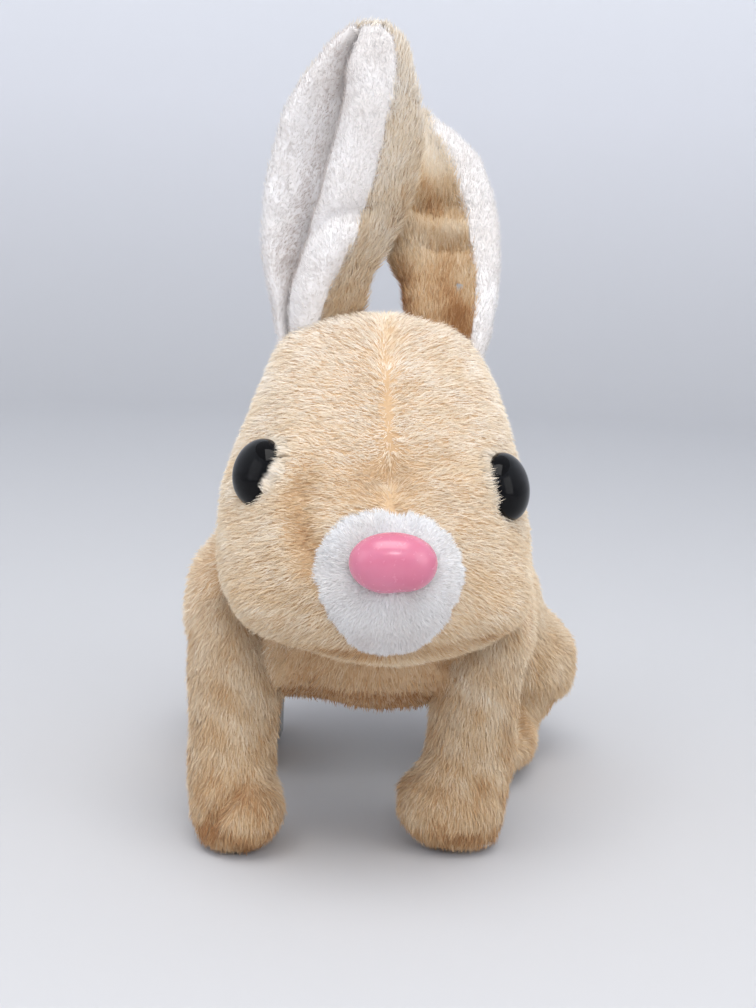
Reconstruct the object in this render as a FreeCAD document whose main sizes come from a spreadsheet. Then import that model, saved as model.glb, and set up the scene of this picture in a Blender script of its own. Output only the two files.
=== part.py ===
import FreeCAD, Part
import math
import os
import re
import Sketcher

from FreeCAD import Placement, Rotation, Vector

# Interactive plush rabbit: a battery toy with a plush skin over a plastic chassis.
# Millimetres.  It faces -Y with +Z up, and its left side is +X.
# The origin is on the floor, under the middle of its bounding box.

doc = FreeCAD.newDocument("PlushRabbit")
sheet = doc.addObject("Spreadsheet::Sheet", "Dimensions")
aliases = set()
nodes = []

DIMENSIONS = {
    # running and sliding fits
    "run_gap": 0.05,
    "free_gap": 0.4,
    # the head is turned a little to its left about the upright rod in the neck
    "head_turn": 6,
    "rod_y": -28,
    # plush skin over the chassis
    "skin": 3,
    "body_half": 38,
    "flank_half": 29.4,
    "flank_front": -3,
    "belly_z": 30.5,
    # belly tray
    "tray_half": 22,
    "tray_front": -32,
    "tray_back": 61.5,
    "tray_z": 34,
    "tray_top": 52,
    "tray_wall": 2,
    "bay_half": 16.5,
    "bay_front": -29,
    "bay_back": 27,
    "bay_wall": 2,
    # battery door, its tongue and its captive screw
    "tongue_half": 4,
    "tongue_back": 34.5,
    "screw_y": 31.5,
    "boss_half": 4.5,
    "boss_top": 46,
    "screw_radius": 1.4,
    "screw_head_radius": 2.8,
    # two AA cells
    "cell_radius": 7.1,
    "cell_front": -25.5,
    "cell_length": 49,
    "cell_nub": 1,
    "cell_nub_radius": 2.75,
    "cell_x": 7.7,
    "cell_z": 44.2,
    "plate_half": 5,
    "stud_radius": 2.2,
    "coil_radius": 3.4,
    "coil_wire": 0.35,
    "contact_wall": 0.4,
    "coil_core": 2.75,
    # speaker and switch
    "speaker_y": 47,
    "speaker_radius": 11,
    "speaker_depth": 6,
    "magnet_radius": 6,
    "grille_hole": 1.2,
    "grille_ring": 6,
    "switch_x": 16.5,
    "switch_y": 46,
    "switch_half_x": 3,
    "switch_half_y": 6,
    "switch_height": 5,
    "knob_half_x": 1,
    "knob_half_y": 1.4,
    "knob_rest_y": 44.5,
    "knob_slot_half": 4,
    # upper housing
    "cover_half": 22.4,
    "cover_front": -2.5,
    "cover_back": 61.5,
    "cover_top": 80.6,
    "cover_wall": 1.6,
    # gear train: every pair has the same centre distance
    "crank_y": 12,
    "crank_z": 68,
    "gear_pitch": 12.5,
    "gear_module": 0.5,
    "gear_face": 3,
    "plane_crank": 5.5,
    "plane_middle": 9.5,
    "plane_motor": 13.5,
    "crank_gear_teeth": 38,
    "middle_gear_teeth": 38,
    "motor_gear_teeth": 40,
    "small_gear_teeth": 12,
    "pinion_teeth": 10,
    "tooth_backlash": 0.14,
    "gear_shaft_radius": 1,
    "plate_wall": 2,
    "plate_left_x": -18.5,
    "plate_right_x": 18.5,
    "plate_front": 1,
    "plate_back": 59,
    "plate_top": 79,
    # motor
    "motor_radius": 10,
    "motor_flat": 7.5,
    "motor_back_x": -14,
    "motor_front_x": 9,
    "motor_nub_radius": 3,
    "motor_nub": 1.2,
    "motor_shaft_radius": 1,
    "saddle_half": 6,
    "saddle_x": -4,
    # crank
    "crank_shaft_radius": 1.5,
    "disc_x": 23,
    "disc_wall": 2.5,
    "disc_radius": 7.5,
    "crank_throw": 5.5,
    "crank_pin_radius": 1.25,
    "crank_pin_x": 29.6,
    "cam_half": 3,
    "cam_radius": 6,
    "cam_throw": 1,
    # rocker between the cam and the head rod
    "rocker_y": -8,
    "rocker_z": 58.5,
    "rocker_half": 4,
    "rocker_thick": 2,
    "rocker_back": 13.5,
    "rocker_front": -31.5,
    "rocker_hub": 2.2,
    "rocker_pin_radius": 1,
    # neck post
    "neck_radius": 8,
    "neck_bore": 6,
    "neck_top": 70,
    "neck_cap": 4,
    "neck_base_half": 20,
    "neck_base_front": -37,
    "neck_base_back": -3,
    "neck_base_wall": 2,
    "bearing_half": 3,
    "bearing_inner": 4.3,
    "bearing_wall": 2,
    # head rod and its collars
    "rod_radius": 2,
    "rod_low": 55.4,
    "rod_high": 121,
    "collar_radius": 3.8,
    "collar_wall": 1,
    # nose lever
    "nose_pivot_y": -50,
    "nose_pivot_z": 81.5,
    "nose_bar_half": 1.5,
    "nose_bar_front": -86,
    "nose_bar_back": -24.5,
    "nose_fork_half": 4,
    "trunnion_radius": 1.2,
    "trunnion_half": 6.8,
    "bracket_inner": 4.4,
    "bracket_wall": 2,
    # nose
    "nose_x": 0.7,
    "nose_z": 81,
    "nose_back": -85,
    "nose_half_x": 9.4,
    "nose_depth": 5.6,
    "nose_half_z": 6.3,
    # skull: a two-piece plastic shell
    "skull_y": -36,
    "skull_z": 90,
    "skull_half_x": 26,
    "skull_half_y": 26,
    "skull_half_z": 26,
    "skull_wall": 2,
    "top_hole": 9,
    # ear levers
    "ear_pivot_x": 12,
    "ear_pivot_y": -26,
    "ear_pivot_z": 118,
    "ear_hub_radius": 2.4,
    "ear_hub_half": 3.2,
    "ear_arm_inner": 2.5,
    "ear_arm_half": 1,
    "ear_post_radius": 1.8,
    "ear_post_length": 22,
    "ear_bearing_inner": 3.6,
    "ear_bearing_wall": 2,
    "ear_bearing_half": 3.2,
    "ear_bearing_low": 106,
    "ear_slot_half": 5,
    "lining": 0.9,
    "lining_inset": 1.6,
    # eyes
    "eye_x": 28.2,
    "eye_y": -58.9,
    "eye_z": 94,
    "eye_angle": 55,
    "eye_tilt": 15,
    "eye_radius": 8,
    "eye_dome": 5,
    "eye_stem_radius": 1.6,
    "eye_stem": 8,
    "washer_radius": 4.5,
    "washer_depth": 6.5,
    "washer_wall": 1,
    # muzzle patch
    "muzzle_radius": 17,
    "muzzle_z": 74,
    "muzzle_pile": 1,
    # front legs
    "leg_x": 28,
    "leg_y": -41,
    "leg_core": 4,
    "arm_low": 40,
    "arm_high": 46,
    "arm_front": -44,
    "arm_back": -27,
    "paw_y": -46,
    "paw_z": 10.5,
    "paw_half_x": 12.2,
    "paw_half_y": 16,
    "paw_half_z": 10.3,
    "sole": 2,
    "front_sole_half_x": 7.5,
    "front_sole_half_y": 11,
    # hind legs swing together on one axle
    "axle_y": 36,
    "axle_z": 49.5,
    "axle_radius": 2,
    "lever_x": 30,
    "lever_wall": 3,
    "lever_hub": 6,
    "lever_bar_half": 3.5,
    "slot_half": 1.6,
    "slot_reach": 7.5,
    "shank_y": 32,
    "haunch_y": 33,
    "haunch_z": 40,
    "haunch_half_x": 26,
    "haunch_half_y": 33,
    "haunch_half_z": 28,
    "foot_x": 38,
    "foot_y": 27,
    "foot_z": 9.5,
    "foot_half_x": 8,
    "foot_half_y": 35,
    "foot_half_z": 8.5,
    "hind_sole_inner": 31,
    "hind_sole_outer": 42,
    "hind_sole_front": 2,
    "hind_sole_back": 54,
    # tail
    "tail_y": 80,
    "tail_z": 54,
    "tail_radius": 10.3,
    # circuit board
    "board_half": 15,
    "board_front": 17,
    "board_back": 58,
    "board_z": 53,
    "board_wall": 1.6,
    # leads and screws
    "lead_radius": 0.4,
    "lead_exit_z": 49,
    "lead_turn": 3.4,
    "lead_inset": 2.2,
    "lead_rise": 4,
    "lead_drop": 4,
    "tab_y": 4,
    "tab_z": -4.5,
    "tab_depth": 0.8,
    "motor_lead_y": 8,
    "speaker_lead_x": 1.5,
    "lead_bend": 0.8,
    "case_screw_head": 2,
}

# Sections of the head: height, middle Y, half width, half depth.
HEAD_SECTIONS = [
    (52, -46, 14, 17),
    (57, -45, 27.5, 32),
    (65, -42, 37.2, 40),
    (75, -41, 37.9, 42),
    (85, -39, 37, 42),
    (95, -36, 34.8, 38.5),
    (105, -32, 31.4, 34),
    (115, -28.5, 26.2, 27.5),
    (122, -26, 20.5, 21),
    (126.5, -25, 14, 14.1),
    (128.5, -25, 5, 5.1),
]

# Sections of the body: Y, middle height, half width, half height.
BODY_SECTIONS = [
    (-46, 56, 14, 12),
    (-40, 57, 32, 27),
    (-33, 58, 39.5, 35.5),
    (-15, 59, 43, 38),
    (10, 60, 46, 39),
    (35, 60, 47, 39),
    (55, 59, 45, 38),
    (68, 57, 38, 32),
    (76, 55, 24, 20),
    (80, 54, 10, 9),
]

# Sections of each ear: height, middle X (outwards), middle Y, half width, half thickness.
RIGHT_EAR_SECTIONS = [
    (131.5, 15.5, -25, 7, 2),
    (136, 15.2, -25, 11.5, 2.5),
    (142, 15, -24.8, 13.8, 2.6),
    (155, 13.8, -24.3, 16, 2.6),
    (168, 10.5, -23.6, 17, 2.6),
    (180, 7.4, -23, 15, 2.5),
    (191, 5.2, -22.4, 10, 2.2),
    (198.5, 5.4, -22, 4.4, 1.4),
]
LEFT_EAR_SECTIONS = [
    (131.5, 17, -22.5, 6.5, 2),
    (136, 18, -20, 10, 2.4),
    (145, 18.5, -15.5, 11.8, 2.5),
    (155, 18, -10, 12.8, 2.5),
    (167, 16.5, -3.5, 11, 2.4),
    (176, 14, 3, 7, 2.2),
    (182, 12, 8, 4, 1.4),
]

# Sections of a front leg: height, middle X (outwards), middle Y, half width, half depth.
LEG_SECTIONS = [
    (8, 28, -41, 11, 10.5),
    (20, 28.3, -41, 11.6, 11.2),
    (30, 28.6, -40.5, 12.4, 12),
    (42, 28.5, -39, 13.6, 13),
    (56, 26, -36, 13.6, 13),
]


# ---------------------------------------------------------------- sheet and bindings

def dimension(alias, value):
    """Put one plain number in the sheet, under its own alias."""
    row = len(aliases) + 1
    sheet.set("A%d" % row, alias)
    sheet.set("B%d" % row, str(value))
    sheet.setAlias("B%d" % row, alias)
    aliases.add(alias)


def section_dimensions(form, sections, columns):
    """Put a form's sections in the sheet, one alias per number."""
    for index, section in enumerate(sections):
        for column, value in zip(columns, section):
            dimension("%s_%s_%d" % (form, column, index), value)


def formula(text):
    """Point every alias in a formula at the sheet."""
    def qualify(match):
        word = match.group(0)
        return "Dimensions." + word if word in aliases else word
    return re.sub(r"[A-Za-z_][A-Za-z0-9_]*", qualify, str(text))


def size(text):
    """Work out a formula's value for the pieces made with Part's own functions."""
    return float(sheet.evalExpression(formula(text)))


def bind(item, sizes):
    for name, text in sizes.items():
        item.setExpression(name, formula(text))
    return item


def place(item, x="0", y="0", z="0"):
    return bind(item, {"Placement.Base.x": x, "Placement.Base.y": y, "Placement.Base.z": z})


def node(item, label):
    """Make an object one of the rabbit's pieces."""
    item.Label = label
    nodes.append(item)
    return item


def head_node(item, label):
    """Make an object a piece of the turned head."""
    turn_with_head(item)
    return node(item, label)


def turn_with_head(item):
    turn = Rotation(Vector(0, 0, 1), size("head_turn"))
    item.Placement = Placement(Vector(0, 0, 0), turn, Vector(0, size("rod_y"), 0))
    item.setExpression("Placement.Rotation.Angle", formula("head_turn"))
    return item


def mirrored(text, side):
    """A formula on the left (+1) or the right (-1) of the rabbit."""
    return "%d * (%s)" % (side, text)


# ---------------------------------------------------------------- primitives

def box(name, x, y, z):
    """A box between pairs of formulas."""
    item = doc.addObject("Part::Box", name)
    spans = {"Length": x, "Width": y, "Height": z}
    bind(item, {key: "(%s) - (%s)" % (high, low) for key, (low, high) in spans.items()})
    return place(item, x[0], y[0], z[0])


def side_box(name, side, x, y, z):
    """A box given by its inner and outer distance from the middle plane."""
    if side > 0:
        return box(name, x, y, z)
    return box(name, ("-(%s)" % x[1], "-(%s)" % x[0]), y, z)


def upright_cylinder(name, radius, x, y, z):
    item = doc.addObject("Part::Cylinder", name)
    bind(item, {"Radius": radius, "Height": "(%s) - (%s)" % (z[1], z[0])})
    return place(item, x, y, z[0])


def cross_cylinder(name, radius, x, y, z):
    """A cylinder along X."""
    item = doc.addObject("Part::Cylinder", name)
    bind(item, {"Radius": radius, "Height": "(%s) - (%s)" % (x[1], x[0])})
    item.Placement = Placement(Vector(), Rotation(Vector(0, 1, 0), 90))
    return place(item, x[0], y, z)


def long_cylinder(name, radius, x, y, z):
    """A cylinder along Y."""
    item = doc.addObject("Part::Cylinder", name)
    bind(item, {"Radius": radius, "Height": "(%s) - (%s)" % (y[1], y[0])})
    item.Placement = Placement(Vector(), Rotation(Vector(1, 0, 0), -90))
    return place(item, x, y[0], z)


def ellipsoid(name, centre, halves):
    item = doc.addObject("Part::Ellipsoid", name)
    item.Angle1 = -90
    item.Angle2 = 90
    bind(item, {"Radius1": halves[2], "Radius2": halves[0], "Radius3": halves[1]})
    return place(item, *centre)


def cut(name, base, *tools):
    """Cut away one tool, or several as one."""
    item = doc.addObject("Part::Cut", name)
    item.Base = base
    item.Tool = tools[0] if len(tools) == 1 else fuse(name + "_tools", *tools)
    return item


def fuse(name, *shapes):
    item = doc.addObject("Part::MultiFuse", name)
    item.Shapes = list(shapes)
    return item


def common(name, *shapes):
    item = doc.addObject("Part::MultiCommon", name)
    item.Shapes = list(shapes)
    return item


def group(name, *shapes):
    """Separate solids that share one node."""
    item = doc.addObject("Part::Compound", name)
    item.Links = list(shapes)
    return item


def section(name, halves, rotation, centre):
    """One elliptical section, its longer half axis first."""
    item = doc.addObject("Part::Ellipse", name)
    bind(item, {"MajorRadius": halves[0], "MinorRadius": halves[1]})
    item.Placement = Placement(Vector(), rotation)
    return place(item, *centre)


def loft(name, sections):
    item = doc.addObject("Part::Loft", name)
    item.Sections = sections
    item.Solid = True
    return item


# ---------------------------------------------------------------- sketched pieces

def origin_plane(body, role):
    return [item for item in body.Origin.OriginFeatures if item.Role == role][0]


def sketch_on(body, role, height):
    """A sketch on one of the body's own planes, raised by a formula."""
    sketch = body.newObject("Sketcher::SketchObject", body.Name + "_sketch")
    sketch.AttachmentSupport = [(origin_plane(body, role), "")]
    sketch.MapMode = "FlatFace"
    sketch.setExpression("AttachmentOffset.Base.z", formula(height))
    return sketch


def hold(sketch, kind, where, text):
    """Hold one coordinate of a sketch's point, or a radius, to a formula."""
    index = sketch.addConstraint(Sketcher.Constraint(kind, *where, size(text)))
    sketch.setExpression("Constraints[%d]" % index, formula(text))


def sketch_circle(sketch, centre, radius):
    middle = Vector(size(centre[0]), size(centre[1]), 0)
    edge = sketch.addGeometry(Part.Circle(middle, Vector(0, 0, 1), size(radius)), False)
    hold(sketch, "Radius", (edge,), radius)
    hold(sketch, "DistanceX", (-1, 1, edge, 3), centre[0])
    hold(sketch, "DistanceY", (-1, 1, edge, 3), centre[1])


def sketch_rectangle(sketch, across, up):
    low = Vector(size(across[0]), size(up[0]), 0)
    high = Vector(size(across[1]), size(up[1]), 0)
    corners = [low, Vector(high.x, low.y, 0), high, Vector(low.x, high.y, 0)]
    edges = []
    for index, corner in enumerate(corners):
        line = Part.LineSegment(corner, corners[(index + 1) % 4])
        edges.append(sketch.addGeometry(line, False))
    for index, edge in enumerate(edges):
        following = edges[(index + 1) % 4]
        sketch.addConstraint(Sketcher.Constraint("Coincident", edge, 2, following, 1))
        direction = "Horizontal" if index % 2 == 0 else "Vertical"
        sketch.addConstraint(Sketcher.Constraint(direction, edge))
    hold(sketch, "DistanceX", (-1, 1, edges[0], 1), across[0])
    hold(sketch, "DistanceY", (-1, 1, edges[0], 1), up[0])
    hold(sketch, "DistanceX", (-1, 1, edges[2], 1), across[1])
    hold(sketch, "DistanceY", (-1, 1, edges[2], 1), up[1])


def plate(name, role, height, thick, rectangles=(), circles=(), holes=()):
    """A flat piece: one outline with its round holes, padded to its thickness."""
    body = doc.addObject("PartDesign::Body", name)
    sketch = sketch_on(body, role, height)
    for across, up in rectangles:
        sketch_rectangle(sketch, across, up)
    for centre, radius in list(circles) + list(holes):
        sketch_circle(sketch, centre, radius)
    pad = body.newObject("PartDesign::Pad", name + "_pad")
    pad.Profile = sketch
    bind(pad, {"Length": thick})
    body.Tip = pad
    return body


# ---------------------------------------------------------------- forms that skins share

def upright_loft(name, form, count, side=1, inset="0", spread="0", shift="0"):
    """A form of sections across Z, whose wider way is X."""
    sections = []
    for index in range(count):
        cell = lambda column: "%s_%s_%d" % (form, column, index)
        halves = ("%s - (%s)" % (cell("half"), inset), "%s + (%s)" % (cell("thick"), spread))
        centre = (mirrored(cell("x"), side), "%s + (%s)" % (cell("y"), shift), cell("z"))
        sections.append(section("%s_%d" % (name, index), halves, Rotation(), centre))
    return loft(name, sections)


def stretched(cell, last, growth):
    """A section's place along its form, when both ends of the form move out by growth."""
    first_cell, last_cell = cell + "_0", "%s_%d" % (cell, last)
    middle = "(%s + %s) / 2" % (first_cell, last_cell)
    factor = "(1 + 2 * (%s) / (%s - %s))" % (growth, last_cell, first_cell)
    return lambda index: "%s + (%s_%d - %s) * %s" % (middle, cell, index, middle, factor)


def head_loft(name, growth):
    """The head's outer form, grown or shrunk all round."""
    along_y = Rotation(Vector(0, 0, 1), 90)
    sections = []
    last = len(HEAD_SECTIONS) - 1
    place_of = stretched("head_z", last, growth)
    for index in range(last + 1):
        height = place_of(index)
        halves = ["head_%s_%d + (%s)" % (column, index, growth) for column in ("deep", "half")]
        centre = ("0", "head_y_%d" % index, height)
        sections.append(section("%s_%d" % (name, index), halves, along_y, centre))
    return loft(name, sections)


def body_loft(name, growth):
    """The body's outer form, grown or shrunk all round."""
    upright = Rotation(Vector(1, 0, 0), 90)
    sections = []
    last = len(BODY_SECTIONS) - 1
    place_of = stretched("body_y", last, growth)
    for index in range(last + 1):
        along = place_of(index)
        halves = ["body_%s_%d + (%s)" % (column, index, growth) for column in ("half", "high")]
        centre = ("0", along, "body_z_%d" % index)
        sections.append(section("%s_%d" % (name, index), halves, upright, centre))
    return loft(name, sections)


def carved(label, form, tools):
    """A piece cut from a lofted form, one tool after another, with Part's own functions."""
    doc.recompute()
    shape = form.Shape
    for tool in tools:
        shape = shape.cut(tool.Shape)
    item = doc.addObject("Part::Feature", label)
    item.Shape = shape
    item.Placement = Placement()
    return node(item, label)


def slab(x, y, z):
    """A plain box shape between pairs of numbers."""
    return Part.makeBox(x[1] - x[0], y[1] - y[0], z[1] - z[0], Vector(x[0], y[0], z[0]))


def body_solid(name, growth):
    """The body's form, flat underneath and narrower between the hind legs.

    It is trimmed with Part's own functions, because a chain of Part::Cut objects on this
    closed loft gives a broken solid.
    """
    form = body_loft(name + "_loft", growth)
    doc.recompute()
    far = 150
    front = size("flank_front")
    flank, shoulder = [size("%s + (%s)" % (alias, growth)) for alias in ("flank_half", "body_half")]
    under = size("belly_z - (%s)" % growth)
    shape = form.Shape
    for slab_shape in (slab((flank, far), (front, far), (-far, far)),
                       slab((-far, -flank), (front, far), (-far, far)),
                       slab((-far, far), (-far, far), (-far, under)),
                       slab((shoulder, far), (-far, front), (-far, far)),
                       slab((-far, -shoulder), (-far, front), (-far, far))):
        shape = shape.cut(slab_shape)
    item = doc.addObject("Part::Feature", name)
    item.Shape = shape.removeSplitter()
    item.Placement = Placement()
    return item


# ---------------------------------------------------------------- belly tray

def make_belly_tray():
    """An open tray with a battery bay, a screw boss, a speaker grille and a switch slot."""
    outer = box("tray_outer", ("-tray_half", "tray_half"), ("tray_front", "tray_back"),
                ("tray_z", "tray_top"))
    inner = box("tray_inner", ("-tray_half + tray_wall", "tray_half - tray_wall"),
                ("tray_front + tray_wall", "tray_back - tray_wall"),
                ("tray_z + tray_wall", "tray_top + 1"))
    walls = box("bay_walls", ("-bay_half - bay_wall", "bay_half + bay_wall"),
                ("bay_front - bay_wall", "bay_back + bay_wall"), ("tray_z", "tray_top"))
    boss = box("screw_boss", ("-boss_half", "boss_half"), ("bay_back + bay_wall", "tongue_back + 0.5"),
               ("tray_z + tray_wall + free_gap", "boss_top"))
    bay = box("bay_space", ("-bay_half", "bay_half"), ("bay_front", "bay_back"),
              ("tray_z - 1", "tray_top + 1"))
    tongue = box("tongue_space", ("-tongue_half - free_gap", "tongue_half + free_gap"),
                 ("bay_back - 1", "tongue_back + free_gap"),
                 ("tray_z - 1", "tray_z + tray_wall + free_gap"))
    screw = upright_cylinder("boss_hole", "screw_radius + run_gap", "0", "screw_y",
                             ("tray_z", "boss_top - 2"))
    slot = box("knob_slot", ("switch_x - knob_half_x - 0.2", "switch_x + knob_half_x + 0.2"),
               ("switch_y - knob_slot_half", "switch_y + knob_slot_half"),
               ("tray_z - 1", "tray_z + tray_wall + 1"))
    axle = cross_cylinder("tray_axle_hole", "axle_radius", ("-30", "30"), "axle_y", "axle_z")
    body = fuse("tray_body", cut("tray_shell", outer, inner), walls, boss)
    node(cut("belly_tray", body, bay, tongue, screw, slot, axle, *grille_holes()), "belly_tray")


def grille_holes():
    """Sound holes: one in the middle and six around it."""
    spots = [("0", "speaker_y")]
    for step in range(6):
        across = "grille_ring * cos(%d deg)" % (60 * step)
        along = "speaker_y + grille_ring * sin(%d deg)" % (60 * step)
        spots.append((across, along))
    return [upright_cylinder("grille_%d" % index, "grille_hole", x, y, ("tray_z - 1", "tray_z + 3"))
            for index, (x, y) in enumerate(spots)]


# ---------------------------------------------------------------- battery compartment

def make_battery_door():
    """A flat lid with a tongue that the captive screw holds."""
    lid = plate("door_lid", "XY_Plane", "tray_z", "tray_wall",
                rectangles=[(("-bay_half + free_gap", "bay_half - free_gap"),
                             ("bay_front + free_gap", "bay_back - free_gap"))])
    tongue = plate("door_tongue", "XY_Plane", "tray_z", "tray_wall",
                   rectangles=[(("-tongue_half", "tongue_half"),
                                ("bay_back - free_gap - 1", "tongue_back"))],
                   holes=[(("0", "screw_y"), "screw_radius")])
    node(fuse("battery_door", lid, tongue), "battery_door")


def make_door_screw():
    """The captive screw under the door's tongue."""
    shank = upright_cylinder("door_shank", "screw_radius", "0", "screw_y", ("tray_z", "boss_top - 4"))
    cap = upright_cylinder("door_cap", "screw_head_radius", "0", "screw_y", ("tray_z - 1.6", "tray_z"))
    cross = box("door_cross", ("-screw_head_radius + 0.8", "screw_head_radius - 0.8"),
                ("screw_y - 0.3", "screw_y + 0.3"), ("tray_z - 2", "tray_z - 0.9"))
    node(cut("door_screw", fuse("door_screw_body", shank, cap), cross), "door_screw")


def make_batteries():
    """Two AA cells side by side, one each way round."""
    cells = []
    for side, nub_at in ((-1, "cell_front - cell_nub"), (1, "cell_front + cell_length")):
        x = mirrored("cell_x", side)
        can = long_cylinder("cell_can", "cell_radius", x, ("cell_front", "cell_front + cell_length"),
                            "cell_z")
        nub = long_cylinder("cell_nub", "cell_nub_radius", x, (nub_at, nub_at + " + cell_nub"), "cell_z")
        cells.append(fuse("cell", can, nub))
    node(group("batteries", *cells), "batteries")


def make_battery_contacts():
    """Plates for the nubs and conical springs for the flat ends."""
    pieces = []
    for side, front_is_spring in ((-1, False), (1, True)):
        x = (mirrored("cell_x", side) + " - plate_half", mirrored("cell_x", side) + " + plate_half")
        z = ("cell_z - plate_half", "cell_z + plate_half")
        front_plate = box("contact_front", x, ("bay_front", "bay_front + contact_wall"), z)
        back_plate = box("contact_back", x, ("bay_back - contact_wall", "bay_back"), z)
        front_span = ("bay_front + contact_wall", "cell_front")
        back_span = ("cell_front + cell_length", "bay_back - contact_wall")
        if front_is_spring:
            pieces.append(fuse("spring_front", front_plate, contact_spring(side, front_span)))
            stud = contact_stud(side, ("%s + cell_nub" % back_span[0], back_span[1]))
            pieces.append(fuse("stud_back", back_plate, stud))
        else:
            stud = contact_stud(side, (front_span[0], "%s - cell_nub" % front_span[1]))
            pieces.append(fuse("stud_front", front_plate, stud))
            pieces.append(fuse("spring_back", back_plate, contact_spring(side, back_span)))
    node(group("battery_contacts", *pieces), "battery_contacts")


def contact_spring(side, span):
    """A stack of rings that stands in for the coil."""
    rings = []
    low, high = span
    turns = 3
    for index in range(turns):
        ring = doc.addObject("Part::Torus", "coil_ring")
        bind(ring, {"Radius1": "coil_radius - coil_wire * %d" % index, "Radius2": "coil_wire"})
        ring.Placement = Placement(Vector(), Rotation(Vector(1, 0, 0), 90))
        rise = "((%s) - (%s) - 2 * coil_wire) * %d / %d" % (high, low, index, turns - 1)
        rings.append(place(ring, mirrored("cell_x", side), "(%s) + coil_wire + %s" % (low, rise), "cell_z"))
    core = long_cylinder("coil_core", "coil_core", mirrored("cell_x", side), span, "cell_z")
    return fuse("coil", core, *rings)


def contact_stud(side, span):
    """A raised stud that meets the cell's nub."""
    return long_cylinder("stud", "stud_radius", mirrored("cell_x", side), span, "cell_z")


# ---------------------------------------------------------------- speaker and switch

def make_speaker():
    rim = upright_cylinder("speaker_rim", "speaker_radius", "0", "speaker_y",
                           ("tray_z + tray_wall", "tray_z + tray_wall + 2"))
    magnet = upright_cylinder("speaker_magnet", "magnet_radius", "0", "speaker_y",
                              ("tray_z + tray_wall", "tray_z + tray_wall + speaker_depth"))
    cone = upright_cylinder("speaker_cone", "speaker_radius - 2", "0", "speaker_y",
                            ("tray_z + tray_wall - 1", "tray_z + tray_wall + 1"))
    node(cut("speaker", fuse("speaker_body", rim, magnet), cone), "speaker")


def make_switch():
    """A slide switch whose knob shows through the tray's floor."""
    low = "tray_z + tray_wall"
    case = box("switch_case", ("switch_x - switch_half_x", "switch_x + switch_half_x"),
               ("switch_y - switch_half_y", "switch_y + switch_half_y"),
               (low, low + " + switch_height"))
    channel = box("switch_channel", ("switch_x - knob_half_x - 0.2", "switch_x + knob_half_x + 0.2"),
                  ("switch_y - knob_slot_half", "switch_y + knob_slot_half"), (low, low + " + 3"))
    node(cut("switch_body", case, channel), "switch_body")
    knob = box("switch_knob", ("switch_x - knob_half_x", "switch_x + knob_half_x"),
               ("knob_rest_y - knob_half_y", "knob_rest_y + knob_half_y"),
               ("tray_z - 1.8", low + " + 2.6"))
    node(knob, "switch_knob")


# ---------------------------------------------------------------- upper housing and gear plates

def make_upper_housing():
    """A cover over the gear train, open underneath, with holes for the crank shaft."""
    wall = "cover_wall"
    outer = box("cover_outer", ("-cover_half", "cover_half"), ("cover_front", "cover_back"),
                ("tray_top", "cover_top"))
    inner = box("cover_inner", ("-cover_half + cover_wall", "cover_half - cover_wall"),
                ("cover_front + " + wall, "cover_back - " + wall), ("tray_top - 1", "cover_top - " + wall))
    shaft = cross_cylinder("cover_bearing", "crank_shaft_radius + run_gap",
                           ("-cover_half - 1", "cover_half + 1"), "crank_y", "crank_z")
    window = box("rocker_window", ("-rocker_half - 1", "rocker_half + 1"),
                 ("cover_front - 1", "cover_front + cover_wall + 1"),
                 ("rocker_z - 4", "rocker_z + 5"))
    node(cut("upper_housing", outer, inner, shaft, window), "upper_housing")


def train_y(step):
    """The Y of a shaft of the gear train, counted from the crank."""
    return "crank_y + %d * gear_pitch" % step


def shaft_holes():
    fixed = [((train_y(step), "crank_z"), "gear_shaft_radius") for step in (1, 2)]
    return fixed + [(("crank_y", "crank_z"), "crank_shaft_radius + run_gap")]


def make_gear_plates():
    """Two upright plates that hold the shafts; the left-hand one carries the motor."""
    outline = [(("plate_front", "plate_back"), ("tray_top", "plate_top"))]
    near_motor = plate("motor_plate", "YZ_Plane", "plate_left_x", "plate_wall",
                       rectangles=outline, holes=shaft_holes())
    saddle = box("motor_saddle", ("plate_left_x + plate_wall - 0.5", "saddle_x"),
                 (train_y(3) + " - saddle_half", train_y(3) + " + saddle_half"),
                 ("crank_z - motor_flat - 2", "crank_z - motor_flat"))
    node(fuse("gear_plate_right", near_motor, saddle), "gear_plate_right")
    far = plate("gear_plate_left", "YZ_Plane", "plate_right_x", "plate_wall",
                rectangles=outline, holes=shaft_holes())
    node(far, "gear_plate_left")


def make_gear_shafts():
    """Two fixed steel shafts for the two compound gears."""
    span = ("plate_left_x", "plate_right_x + plate_wall")
    shafts = [cross_cylinder("gear_shaft", "gear_shaft_radius", span, train_y(step), "crank_z")
              for step in (1, 2)]
    node(group("gear_shafts", *shafts), "gear_shafts")


def make_motor():
    """A flat-sided can motor lying across the housing."""
    can = cross_cylinder("motor_can", "motor_radius", ("motor_back_x", "motor_front_x"), train_y(3),
                         "crank_z")
    flats = box("motor_flats", ("motor_back_x - 1", "motor_front_x + 1"),
                (train_y(3) + " - motor_radius", train_y(3) + " + motor_radius"),
                ("crank_z - motor_flat", "crank_z + motor_flat"))
    nub = cross_cylinder("motor_nub", "motor_nub_radius", ("motor_front_x - 1", "motor_front_x + motor_nub"),
                         train_y(3), "crank_z")
    bore = cross_cylinder("motor_bearing", "motor_shaft_radius + run_gap",
                          ("motor_front_x - 6", "motor_front_x + 3"), train_y(3), "crank_z")
    tabs = [box("motor_tab", ("motor_back_x - 1.4", "motor_back_x"),
                (train_y(3) + " + %d" % offset, train_y(3) + " + %d + 1" % offset),
                ("crank_z - 5", "crank_z - 2")) for offset in (-4, 3)]
    node(cut("motor", fuse("motor_body", common("motor_case", can, flats), nub, *tabs), bore), "motor")


# ---------------------------------------------------------------- gears

def involute(angle):
    return math.tan(angle) - angle


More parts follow.
